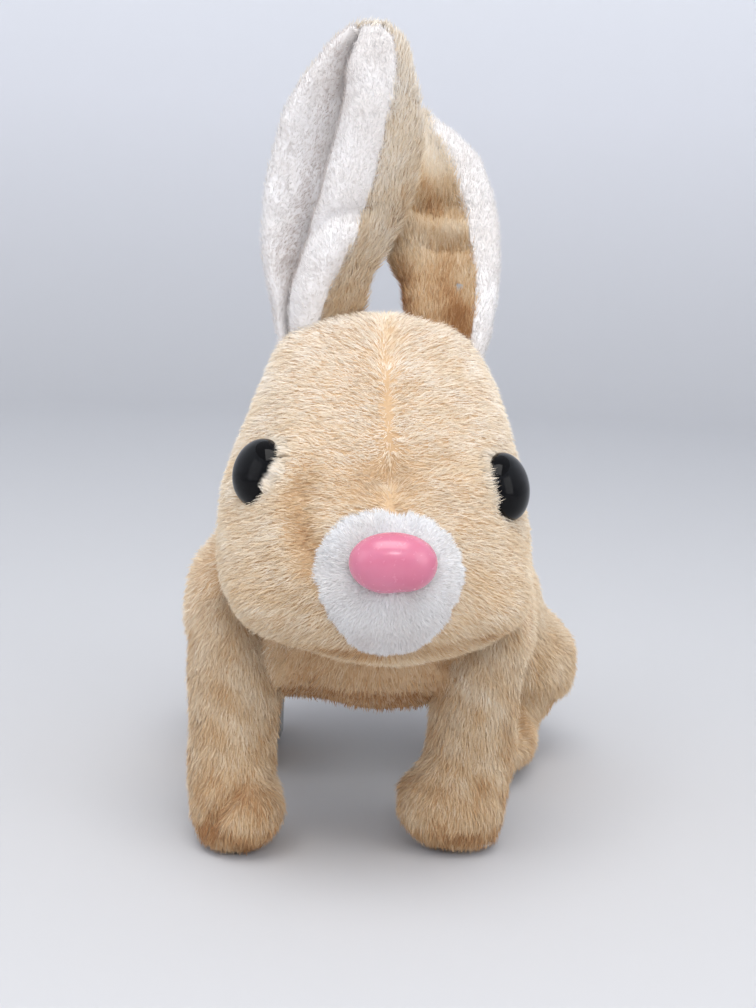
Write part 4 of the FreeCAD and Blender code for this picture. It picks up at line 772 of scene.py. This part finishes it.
def make_eyes():
    """Domed black buttons, each set into its seat."""
    black = mottled("black_glass", [(0.4, srgb(6, 6, 8)), (0.6, srgb(10, 10, 12))], 0.07, 700, 0.005,
                    rough_spread=0.03, Specular_IOR_Level=0.15)
    for (side, seat, turn), label in zip(EYES, ("right", "left")):
        rings = []
        for angle in np.linspace(0.05, math.pi / 2, 16):
            radius = EYE_RADIUS * math.sin(angle)
            rings.append(oval_ring((0, 0, EYE_DOME * math.cos(angle)), (radius, radius), 2))
        rings.append(rings[-1] * np.array([0.97, 0.97, 1]) - np.array([0, 0, EYE_DEPTH]))
        verts, faces = loft_data(rings)
        turn = math.radians(turn)
        out = np.array([side * math.sin(turn), -math.cos(turn), EYE_RISE])
        out /= np.linalg.norm(out)
        across = np.cross((0, 0, 1), out)
        across /= np.linalg.norm(across)
        up = np.cross(out, across)
        verts = verts[:, :1] * across + verts[:, 1:2] * up + verts[:, 2:] * out
        verts += np.array(seat) - out * EYE_DEPTH
        eye = refined(new_object("eye_dome_" + label, turned(verts), faces))
        shade_smooth(eye)
        eye.data.materials.append(black)
        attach(eye, "root")
        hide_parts("eye_" + label)


# -------- ears

# Height, outer edge, fold, edge of the white, inner edge and depth of the tall ear, in the head frame.
TALL_EAR = [
    (121, -24.5, -21.0, -17.5, -8.0, 0.75), (127, -25.9, -21.6, -17.3, -7.8, 0.8),
    (132, -26.4, -21.8, -15.8, -5.2, 0.9), (139, -28.4, -20.6, -13.2, -3.4, 0.95),
    (148, -29.8, -18.1, -9.0, 1.0, 1.0), (157, -29.6, -15.4, -5.2, 5.2, 1.0),
    (167, -28.0, -13.2, -3.0, 7.4, 1.0), (175, -25.8, -11.4, -1.4, 7.4, 0.95),
    (183, -22.2, -9.9, 0.2, 6.4, 0.85), (190.5, -17.2, -9.2, 0.6, 4.2, 0.7),
    (195.5, -13.0, -7.6, -0.4, 2.0, 0.5), (198.3, -9.8, -6.8, -3.4, -2.0, 0.25),
]
TALL_EAR_FRONT = -26.0
# Height, inner edge, edge of the white, outer edge, front and depth of the leaning ear.
LEANING_EAR = [
    (121, 9, 21.0, 24.0, -28.6, 0.9), (127, 7.6, 21.6, 25.8, -26.8, 1.0), (131, 6.8, 21.8, 26.4, -25.2, 1.1),
    (137, 6.0, 22.4, 27.6, -21.2, 1.1), (144, 2.6, 22.0, 28.4, -16.4, 1.1),
    (151, 2.6, 21.0, 28.6, -11.2, 1.1), (158, 3.0, 19.6, 28.0, -7.0, 1.0),
    (165, 3.6, 17.6, 26.4, -3.0, 0.95), (171, 4.8, 15.4, 24.0, 0.8, 0.85),
    (176, 6.6, 12.8, 19.4, 4.4, 0.65), (180, 8.8, 11.6, 14.4, 7.4, 0.4),
    (181.6, 10.2, 11.4, 12.6, 8.6, 0.2),
]
# Points round each ring of an ear, and the height below which it has no tan pile, inside the head.
EAR_AROUND = 96
EAR_PILE_Z = 125
# Rolls and creases of each ear: a path, its width and how far it stands out.
TALL_EAR_ROLLS = [
    ([(-9.5, -29.5, 149.5), (-13.5, -29.5, 144), (-16.5, -29.5, 137), (-18.5, -29, 128)], 3.6, 2.2),
    ([(-1, -29, 155), (-8, -29, 154.8), (-14, -29, 153.5), (-18.4, -28, 149)], 1.8, -1.3),
]
LEANING_EAR_ROLLS = [
    ([(3, -11.5, 152), (11, -12.5, 150), (20, -12.5, 150)], 3.2, 1.5),
    ([(3, -9.5, 157), (10, -9.5, 156), (18, -9.5, 158)], 3.0, -1.8),
    ([(4, -15, 145.5), (12, -15, 145), (21, -15, 146)], 2.0, -1.2),
]


def ear_ring(control, front, deep, z):
    """A level loop of an ear, and how far round it each control point comes, from 0 to 1."""
    flat = np.array([(x, front + y * deep) for x, y in control])
    loop = closed_curve(flat, EAR_AROUND)
    starts = chord_starts(flat)[0]
    return np.column_stack([loop, np.full(EAR_AROUND, z)]), starts[:-1] / starts[-1]


def tall_ear_ring(row):
    """The tall ear at one height, with its lining folded forward."""
    z, left, fold, white, right, deep = row
    a, b, c = fold - left, white - fold, right - white
    control = [
        (left, 1.2), (left + 0.10 * a, 0.3), (left + 0.45 * a, 2.4), (left + 0.82 * a, 5.4),
        (fold + 0.6, 6.2), (fold - 0.5, 2.6), (fold - 0.2, -1.0), (fold + 0.18 * b, -2.9),
        (fold + 0.55 * b, -3.6), (white, -2.5), (white + 0.6 * c, -0.4), (right, 3.4),
        (white + 0.5 * c, 7.4), (fold + 0.4 * b, 9.8), (left + 0.75 * a, 9.4), (left + 0.35 * a, 6.2),
        (left + 0.06 * a, 3.4),
    ]
    return ear_ring(control, TALL_EAR_FRONT, deep, z)


def leaning_ear_ring(row):
    """The leaning ear at one height, with its lining on the outer edge."""
    z, left, white, right, front, deep = row
    a, b = white - left, right - white
    control = [
        (left, 1.6), (left + 0.06 * a, -0.6), (left + 0.28 * a, -1.9), (left + 0.55 * a, -0.2),
        (left + 0.8 * a, -0.6), (white, -1.4), (white + 0.35 * b, -2.0), (white + 0.85 * b, -0.9),
        (right, 1.6), (white + 0.7 * b, 4.4), (left + 0.85 * a, 4.6), (left + 0.5 * a, 3.0),
        (left + 0.2 * a, 4.4), (left + 0.04 * a, 3.8),
    ]
    return ear_ring(control, front, deep, z)


def lined_polygons(marks, first_mark, last_mark, count):
    """Which of an ear's polygons lie between two of its control points, round every ring."""
    column = np.arange(EAR_AROUND) / EAR_AROUND
    lined = np.zeros(count, bool)
    for index, mark in enumerate(marks[:-1]):
        first, last = mark[first_mark], mark[last_mark]
        after, before = column >= first, column < last
        inside = after | before if first > last else after & before
        lined[index * EAR_AROUND:(index + 1) * EAR_AROUND] = inside
    return lined


def make_ear(label, table, ring_of, first_mark, last_mark, rolls, seed):
    """A plush ear: a tan back, with its white lining between two marks of each ring."""
    rings, marks = zip(*[ring_of(row) for row in smooth_rows(table, 60)])
    verts, faces = loft_data(rings)
    ear = new_object("ear_plush_" + label, verts, faces)
    points, normals = points_of(ear), normals_of(ear)
    push = 0.35 * waves(points, 16, seed) + 0.2 * waves(points, 7, seed + 1)
    for path, width, height in rolls:
        push += height * near(points, path, width)
    set_points(ear, points + normals * push[:, None])
    white = lined_polygons(marks, first_mark, last_mark, len(faces))
    lining = patch_of("ear_lining_plush_" + label, ear, white, 0.5, lambda p: np.full(len(p), 0.7))
    body = "ear_%s_body" % label
    grown = (~white & (polygon_centres(ear)[:, 2] > EAR_PILE_Z)).astype(float)
    tan = pile("ear_fur_" + label, ear, body, 34000, 3.6, 30, ear_comb, ear_tone_and_shading, tan_pile, seed + 2,
               allowed=grown, width=0.22)
    pale = pile("ear_lining_fur_" + label, lining, body, 34000, 1.5, 55, ear_comb, lining_tone_and_shade,
                white_pile, seed + 3, width=0.16)
    ear, lining = refined(ear), refined(lining)
    for item in (ear, lining, tan, pale):
        set_points(item, turned(points_of(item)))
    finish_skin(ear, tan_skin, body, "plush_tan", 0.4, "ear_" + label)
    finish_skin(lining, white_skin, body, "plush_white", 0.3, "ear_lining_" + label)


def ear_comb(root, up):
    """Towards the tip, wavering."""
    way = np.zeros_like(root)
    way[:, 2] = 1.0
    way[:, 0] = 0.35 * waves(root, 20, 61)
    return way


def ear_tone_and_shading(root, up):
    """Painted light and shade over some random tone: paler towards the top, and golden painted shade low
    down, in the hollows, in the leaning ear's shadowed fold and at the root, with painted light along its
    roll.
    """
    height = root[:, 2]
    tone = 0.62 + 0.005 * (height - 150) + 0.14 * waves(root, 12, 62) + 0.07 * waves(root, 4, 63)
    tone -= 0.25 * (root[:, 0] > 3) * np.clip((172 - height) / 20, 0, 1)
    tone -= 0.22 * near_point(root, (11, -7, 160), (9, 9, 6))
    tone += 0.15 * near(root, LEANING_EAR_ROLLS[0][0], 3.2)
    return tone - 0.12 * np.exp(-((height - 130) / 6) ** 2)


def lining_tone_and_shade(root, up):
    """Painted shade, warmer and darker, down in the long fold, over some random tone."""
    fold = [(x, -24, z) for z, _, x, *_ in TALL_EAR[3:10]]
    return 0.62 + 0.10 * waves(root, 14, 64) - 0.45 * near(root - np.array([-3.5, 0, 0]), fold, 4.5)


# -------- body, legs and tail

# Middle Y and Z of the trunk at each section, and its half width and height, pile included.
BODY_SECTIONS = [
    (-47.5, 53, 16, 9.5), (-44, 55.5, 27, 16), (-38, 58, 34, 22.5), (-30, 59, 38.5, 29), (-15, 61, 40.5, 33),
    (10, 62, 40.5, 35.5), (35, 61.5, 40, 35), (55, 59.5, 37, 32), (68, 57, 31, 26), (76, 55, 20, 17),
    (80, 54, 10, 9),
]


# Shoulders, breast and the roots of the front legs: centre and half sizes.
TRUNK_BALLS = [
    ((-36.2, -28, 57), (12, 17, 19.5)), ((29.5, -28, 55), (11.5, 16, 17)), ((0, -39, 47.6), (21, 8.5, 8.5)),
    ((-24.5, -37, 45.4), (10, 13, 9.5)), ((24, -37, 45.4), (9.5, 13, 9.5)),
]
BACK_SEAM = [(0, 78, 60), (0, 60, 90), (0, 20, 97), (0, -10, 95)]
BREAST_SEAM = [(-24, -44, 50), (-14, -50, 50.5), (0, -51, 50), (14, -50, 50.5), (20, -46, 48)]
TRUNK_BOTTOM = 30.8
# The battery housing's opening in the trunk: X, Y and Z.
POCKET = ((-22.4, 22.4), (-32.4, 61.9), (20, 52.6))


def cut_pocket(item):
    """Takes the battery housing's opening out of the trunk."""
    pocket = new_object("pocket", *box_data(*POCKET))
    cut = item.modifiers.new("pocket", "BOOLEAN")
    cut.operation = "DIFFERENCE"
    cut.object = pocket
    cut.solver = "EXACT"
    apply_modifiers(item)
    bpy.data.objects.remove(pocket)


def make_body():
    """The trunk with its shoulders, open below for the battery compartment."""
    rings = [oval_ring((0, y, z), (half - FUR * 0.6, high - FUR * 0.6), 1, 56, 2.2)
             for y, z, half, high in smooth_rows(BODY_SECTIONS, 46)]
    forms = [loft_data(rings)] + [ball_data(centre, half) for centre, half in TRUNK_BALLS]
    item = remeshed(joined("body_plush", forms), 1.7, 8)
    item = stuffed(item, 5.0, 1.0)
    points, normals = points_of(item), normals_of(item)
    push = 0.9 * waves(points, 34, 71) + 0.35 * waves(points, 13, 72)
    push -= 1.2 * near(points, BACK_SEAM, 1.8)
    push -= 1.5 * near(points, BREAST_SEAM, 1.8)
    points = points + normals * push[:, None]
    points[:, 2] = np.maximum(points[:, 2], TRUNK_BOTTOM + 0.12 * waves(points, 9, 73))
    set_points(item, points)
    cut_pocket(item)
    for number, (length, lean, seed) in enumerate(((3.1, 28, 74), (2.6, 42, 75))):
        pile("body_fur_%d" % number, item, "root", 60000, length, lean, body_comb, body_tone_and_shading, tan_pile, seed,
             body_keep)
    finish_skin(item, tan_skin, "root", "plush_tan", 0.7, "body_skin")


def box_data(x, y, z):
    """A box between the two ends given for each axis."""
    verts = [(a, b, c) for a in x for b in y for c in z]
    faces = [(0, 1, 3, 2), (4, 6, 7, 5), (0, 4, 5, 1), (2, 3, 7, 6), (0, 2, 6, 4), (1, 5, 7, 3)]
    return np.array(verts, float), faces


def body_comb(root, up):
    """Back and down, and outwards on the breast."""
    way = np.zeros_like(root)
    way[:, 1] = 0.7
    way[:, 2] = -0.8
    front = root[:, 1] < -36
    way[front, 0] = 0.5 * np.tanh(root[front, 0] / 14)
    way[front, 1] = 0
    return way


def body_tone_and_shading(root, up):
    """Painted light and shade over some random tone: paler on the back where the light falls, and painted
    shade, deeper, on the breast under the chin and below.
    """
    tone = 0.58 + 0.0045 * (root[:, 2] - 75) + 0.12 * waves(root, 14, 76) + 0.06 * waves(root, 4, 77)
    chest = (root[:, 1] < -38) & (root[:, 2] < 51) & (np.abs(root[:, 0]) < 22)
    return tone - 0.14 * chest - 0.2 * (root[:, 2] < 40)


def body_keep(root, up):
    """No pile inside the pocket or under the head."""
    inside = (np.abs(root[:, 0]) < 22.6) & (root[:, 1] > -32.6) & (root[:, 1] < 62.1) & (root[:, 2] > 31.5)
    pocket = inside & (root[:, 2] < 52.9)
    head = unturned(root)
    under_head = ((head[:, 0] / 34) ** 2 + ((head[:, 1] + 42) / 37) ** 2 < 1) & (root[:, 2] > 60)
    return 1.0 - (pocket | under_head)


# Height, middle X and Y, and half width and depth of each leg's column; centre and half sizes of its paw.
FRONT_LEGS = {
    "right": {
        "column": [(69, -35, -30, 4, 5), (65, -34.6, -31.5, 8.5, 9.5), (58, -33.8, -34.5, 11.6, 12.8),
                   (50, -33.2, -37, 12.6, 13.8), (40, -33.2, -39.5, 12.6, 13),
                   (30, -33.2, -40.5, 12.4, 12.5), (20, -33, -42, 12, 12.5), (10, -32.6, -44, 11.6, 13),
                   (1.5, -32, -45, 10.2, 12)],
        "paw": ((-28.2, -49.5, 10.6), (10.3, 12, 10.4)),
        "crease": [(-21, -50, 25), (-26, -55, 22.5), (-32, -57, 16.5), (-35.5, -56, 9)],
    },
    "left": {
        "column": [(67, 28.5, -30, 4, 5), (63, 28.2, -31.5, 8.5, 9.5), (57, 27.6, -34, 11.2, 12.6),
                   (50, 26.8, -36.2, 12.2, 13.4), (40, 26.4, -37, 12.2, 13),
                   (30, 26, -37, 12, 12.2), (20, 25.6, -37, 11.6, 12), (10, 25, -38, 11, 12),
                   (1.5, 24.5, -38, 9.5, 11)],
        "paw": ((20.4, -41, 12.0), (13.6, 13, 12.0)),
        "crease": [(7, -40, 24), (13, -49, 25), (22, -53, 24), (31, -50, 21)],
    },
}


def make_front_leg(label):
    """A soft column over a rounded paw, with the crease between them."""
    data = FRONT_LEGS[label]
    rings = [oval_ring((x, y, z), (a - FUR * 0.8, b - FUR * 0.8), 2, 40, 2.1)
             for z, x, y, a, b in smooth_rows(data["column"], 30)]
    centre, half = data["paw"]
    paw = ball_data(centre, [h - FUR * 0.7 for h in half])
    item = remeshed(joined("front_leg_plush_" + label, [loft_data(rings), paw]), 1.2, 6)
    item = stuffed(item, 3.2, 0.6)
    points, normals = points_of(item), normals_of(item)
    seed = 81 if label == "left" else 85
    push = 0.5 * waves(points, 17, seed) + 0.25 * waves(points, 8, seed + 1)
    push -= 2.0 * near(points, data["crease"], 1.9)
    points = points + normals * push[:, None]
    points[:, 2] = np.maximum(points[:, 2], SOLE_Z)
    set_points(item, points)

    # Painted light and shade over some random tone: paler upwards, with painted shade in the crease and low
    # on the paw.
    def tone(root, up):
        shade = 0.36 + 0.0035 * (root[:, 2] - 20) + 0.13 * waves(root, 9, seed + 2)
        return shade - 0.3 * near(root, data["crease"], 2.6) - 0.12 * (root[:, 2] < 9)

    pile("front_leg_fur_" + label, item, "root", 52000, 3.2, 30, down_comb, tone, tan_pile, seed + 3)
    finish_skin(item, tan_skin, "root", "plush_gold", 0.7, "front_leg_skin_" + label, "front_foot_pads")


def down_comb(root, up):
    """Down the leg and a little forward."""
    way = np.zeros_like(root)
    way[:, 2] = -1.0
    way[:, 1] = -0.15
    return way


# Centre and half sizes of the haunch, the foot and the lobe over the heel.
HAUNCHES = {
    "right": [((-34, 31, 41), (23.5, 31.5, 26)), ((-38.5, 27, 9.6), (9.5, 33, 10)),
              ((-40, 36, 22), (14, 22, 15))],
    "left": [((31, 30, 44), (14.5, 30, 22.5)), ((37.5, 27, 9.6), (8.5, 33, 10)),
             ((39, 38, 28), (18.8, 24, 16.5))],
}


# The flat inner side of each hind leg.
HIND_LEG_INSIDE = 30.2


def make_hind_leg(label):
    """A full haunch over a long foot."""
    side = -1 if label == "right" else 1
    forms = [ball_data(centre, [h - FUR * 0.7 for h in half]) for centre, half in HAUNCHES[label]]
    item = remeshed(joined("hind_leg_plush_" + label, forms), 1.5, 7)
    item = stuffed(item, 4.2, 1.0)
    points, normals = points_of(item), normals_of(item)
    seed = 91 if label == "left" else 95
    push = 0.7 * waves(points, 24, seed) + 0.3 * waves(points, 10, seed + 1)
    push -= 1.8 * near(points, [(side * 50, y, 19) for y in (2, 20, 40, 58)], 2.4)
    points = points + normals * push[:, None]
    points[:, 2] = np.maximum(points[:, 2], SOLE_Z)
    inner = points[:, 0] * side < HIND_LEG_INSIDE
    points[inner, 0] = side * HIND_LEG_INSIDE
    set_points(item, points)

    # Painted light over some random tone: paler upwards.
    def tone(root, up):
        return 0.42 + 0.0045 * (root[:, 2] - 30) + 0.13 * waves(root, 12, seed + 2)

    def keep(root, up):
        return (root[:, 0] * side > HIND_LEG_INSIDE + 0.4).astype(float)

    pile("hind_leg_fur_" + label, item, "hind_legs", 62000, 3.6, 30, haunch_comb, tone, tan_pile, seed + 3,
         keep)
    finish_skin(item, tan_skin, "hind_legs", "plush_tan", 0.7, "hind_leg_skin_" + label, "hind_foot_pads")


def haunch_comb(root, up):
    """Down and back."""
    way = np.zeros_like(root)
    way[:, 1] = 0.5
    way[:, 2] = -1.0
    return way


def make_tail():
    """A round white tuft."""
    forms = [ball_data((0, 81.5, 54.5), (9, 7.6, 8.8)), ball_data((0, 84, 57.5), (6, 4.2, 6))]
    item = remeshed(joined("tail_plush", forms), 1.1, 4)
    points, normals = points_of(item), normals_of(item)
    set_points(item, points + normals * (0.4 * waves(points, 9, 101))[:, None])
    pile("tail_fur", item, "root", 14000, 4.6, 48, lambda p, n: p - np.array([0, 70, 60.0]),
         lambda p, n: 0.75 + 0.15 * waves(p, 6, 102), white_pile, 103)
    finish_skin(item, white_skin, "root", "plush_white", 0.8, "tail")


def make_wadding():
    """Loose fill in rounded lumps: in the rump, at the nape and in both cheeks."""
    lumps = [ball_data((x, 67.5, z), (11, 4.5, 10)) for x in (-9, 9) for z in (50, 64)]
    in_head = [ball_data((x, -5.5, z), (9, 3.0, 8)) for x in (-9, 7) for z in (92, 103)]
    in_head += [ball_data((side * 31, y, 74), (3.0, 9, 8)) for side in (-1, 1) for y in (-44, -30)]
    lumps += [(turned(points), faces) for points, faces in in_head]
    item = remeshed(joined("wadding", lumps), 1.2, 3)
    points, normals = points_of(item), normals_of(item)
    set_points(item, points + normals * (0.5 * waves(points, 6, 111))[:, None])
    fluff = mottled("white_wadding", [(0.3, srgb(222, 220, 214)), (0.7, srgb(244, 243, 240))], 0.95, 700, 1.2,
                    Sheen_Weight=0.3)
    finish_skin(item, fluff, "root", "wadding", 0.4, "stuffing")


# -------- the works

METAL = {"Metallic": 1.0}
# Record slot: material, colour, how far its shades spread, roughness, grain per metre, bump in millimetres.
WORKS = {
    "shell_white": ("white_abs", (228, 227, 222), 8, 0.42, 1800, 0.03, {}),
    "shell_grey": ("grey_abs", (150, 152, 154), 8, 0.45, 1800, 0.03, {}),
    "gear_nylon": ("nylon", (236, 233, 222), 8, 0.38, 1500, 0.02,
                   {"Subsurface_Weight": 0.1, "Subsurface_Scale": 0.001}),
    "gear_blue": ("blue_nylon", (70, 110, 170), 8, 0.38, 1500, 0.02, {}),
    "knob_black": ("black_abs", (28, 28, 30), 4, 0.4, 1800, 0.03, {}),
    "rubber_sole": ("sole_fabric", (196, 160, 118), 8, 0.85, 2500, 0.2, {"Sheen_Weight": 0.2}),
    "steel": ("steel", (178, 180, 184), 6, 0.3, 2200, 0.01, METAL),
    "nickel": ("nickel", (198, 196, 188), 6, 0.25, 2200, 0.01, METAL),
    "motor_can": ("zinc_can", (170, 172, 174), 8, 0.35, 1400, 0.02, METAL),
    "board_green": ("solder_mask", (34, 92, 58), 6, 0.35, 1200, 0.02, {}),
    "chip_black": ("epoxy", (26, 27, 29), 4, 0.5, 2000, 0.02, {}),
    "cell_wrap": ("cell_sleeve", (196, 150, 60), 8, 0.3, 900, 0.01, {}),
    "speaker_frame": ("pressed_steel", (120, 122, 126), 8, 0.4, 1500, 0.02, METAL),
    "lead_red": ("lead_sleeve", (176, 40, 36), 8, 0.4, 1500, 0.02, {}),
}


def work_materials():
    """A procedural material for each record slot that the CAD nodes use."""
    materials = {}
    for slot, (name, colour, spread, roughness, grain, bump, sockets) in WORKS.items():
        darker = srgb(*[max(0, c - spread) for c in colour])
        lighter = srgb(*[min(255, c + spread) for c in colour])
        materials[slot] = mottled(name, [(0.35, darker), (0.65, lighter)], roughness, grain, bump, **sockets)
    return {**materials, "plush_tan": tan_skin, "plush_white": white_skin}


def dress_the_works():
    """Each CAD node gets its slot's material."""
    materials = work_materials()
    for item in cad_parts.values():
        slots = [place.material.name.split(".")[0] for place in item.material_slots if place.material]
        chosen = materials.get(slots[0] if slots else "shell_white", materials["shell_white"])
        for place in item.material_slots:
            place.material = chosen
        if not item.material_slots:
            item.data.materials.append(chosen)
        polygons = item.data.polygons
        polygons.foreach_set("use_smooth", np.zeros(len(polygons), bool))


# -------- stage

def stage_material():
    """Pale grey underfoot, and lighter, a little bluer and faintly glowing towards the top: painted light on
    the backdrop.
    """
    material, shader = principled("pale_stage", srgb(218, 219, 222), 0.85)
    tree = material.node_tree
    split = tree.nodes.new("ShaderNodeSeparateXYZ")
    tree.links.new(tree.nodes.new("ShaderNodeTexCoord").outputs["Object"], split.inputs["Vector"])
    # Painted light: the colour brightens and the backdrop glows, more strongly higher up.
    stops = [(0.0, srgb(206, 206, 208)), (0.35, srgb(226, 227, 232)), (1.0, srgb(236, 240, 245))]
    colour = ramp_node(tree, split.outputs["Z"], stops).outputs["Color"]
    tree.links.new(colour, shader.inputs["Base Color"])
    tree.links.new(colour, shader.inputs["Emission Color"])
    glow = tree.nodes.new("ShaderNodeMapRange")
    glow.inputs["From Min"].default_value = 0.0
    glow.inputs["From Max"].default_value = 0.9
    glow.inputs["To Max"].default_value = 0.42
    tree.links.new(split.outputs["Z"], glow.inputs["Value"])
    tree.links.new(glow.outputs["Result"], shader.inputs["Emission Strength"])
    return material


def make_stage():
    """A round pale floor that curves up into a backdrop all the way round."""
    # Metres: the flat floor's radius, the curve's radius and the wall's top. Then points round it.
    reach, bend, top, around = 1.1, 0.45, 1.6, 96
    profile = [(0.02, 0.0), (0.3, 0.0), (0.7, 0.0), (reach, 0.0)]
    for angle in np.linspace(0, math.pi / 2, 20)[1:]:
        profile.append((reach + bend * math.sin(angle), bend - bend * math.cos(angle)))
    profile.append((reach + bend, top))
    verts, faces = [(0, 0, 0)], []
    for radius, z in profile:
        for angle in np.linspace(0, 2 * math.pi, around, endpoint=False):
            verts.append((radius * 1000 * math.cos(angle), radius * 1000 * math.sin(angle), z * 1000))
    for j in range(around):
        k = (j + 1) % around
        faces.append((0, 1 + j, 1 + k))
        for i in range(len(profile) - 1):
            low, high = 1 + i * around, 1 + (i + 1) * around
            faces.append((low + j, high + j, high + k, low + k))
    floor = new_object("floor", verts, faces)
    shade_smooth(floor)
    floor.data.materials.append(stage_material())


def area_light(name, place, aim, size, power, colour):
    """A rectangular lamp at place that shines at aim, in metres and watts."""
    data = bpy.data.lights.new(name, "AREA")
    data.shape = "RECTANGLE"
    data.size, data.size_y = size
    data.energy = power
    data.color = colour
    linked(name, data).matrix_world = look_at(np.array(place, float), np.array(aim, float), 0.0)


def look_at(place, aim, roll):
    """A matrix at place that looks at aim, rolled about its view."""
    back = place - aim
    back /= np.linalg.norm(back)
    right = np.cross((0, 0, 1), back)
    right /= np.linalg.norm(right)
    up = np.cross(back, right)
    c, s = math.cos(roll), math.sin(roll)
    right, up = right * c + up * s, up * c - right * s
    matrix = Matrix.Identity(4)
    for row in range(3):
        matrix[row] = right[row], up[row], back[row], place[row]
    return matrix


def make_lights():
    """A big soft lamp overhead, two weak fills, a small window and a pale sky."""
    area_light("ceiling", (0.0, -0.35, 0.95), (0, -0.03, 0.08), (0.8, 0.6), 5.6, (1.0, 0.985, 0.96))
    area_light("left_fill", (-0.75, -0.45, 0.35), (0, 0, 0.08), (0.5, 0.6), 0.8, (0.97, 0.98, 1.0))
    area_light("right_fill", (0.75, -0.45, 0.35), (0, 0, 0.08), (0.5, 0.6), 1.4, (1.0, 0.99, 0.97))
    area_light("window", (0.1, -0.6, 0.42), (0, -0.05, 0.09), (0.13, 0.03), 0.4, (1.0, 1.0, 1.0))
    world = bpy.data.worlds.new("studio")
    bpy.context.scene.world = world
    world.use_nodes = True
    background = world.node_tree.nodes["Background"]
    background.inputs["Color"].default_value = (0.90, 0.93, 1.0, 1)
    background.inputs["Strength"].default_value = 0.55
    bpy.context.scene.view_settings.view_transform = "Standard"


def make_camera():
    """A close, slightly high view of the front."""
    azimuth, elevation, roll = math.radians(3), math.radians(9), math.radians(2)
    aim = np.array([0.2, -30, 84]) * MM
    distance = 0.365
    back = np.array([math.sin(azimuth) * math.cos(elevation), -math.cos(azimuth) * math.cos(elevation),
                     math.sin(elevation)])
    data = bpy.data.cameras.new("camera")
    data.lens = 52.5
    data.sensor_width = 36
    data.clip_start = 0.01
    camera = linked("camera", data)
    camera.matrix_world = look_at(aim + back * distance, aim, roll)
    bpy.context.scene.camera = camera


make_stage()
make_lights()
make_camera()
dress_the_works()
make_head()
make_nose()
make_eyes()
make_ear("right", TALL_EAR, tall_ear_ring, 16, 9, TALL_EAR_ROLLS, 51)
make_ear("left", LEANING_EAR, leaning_ear_ring, 5, 13, LEANING_EAR_ROLLS, 55)
make_body()
make_front_leg("right")
make_front_leg("left")
make_hind_leg("right")
make_hind_leg("left")
make_tail()
make_wadding()

bpy.context.view_layer.update()
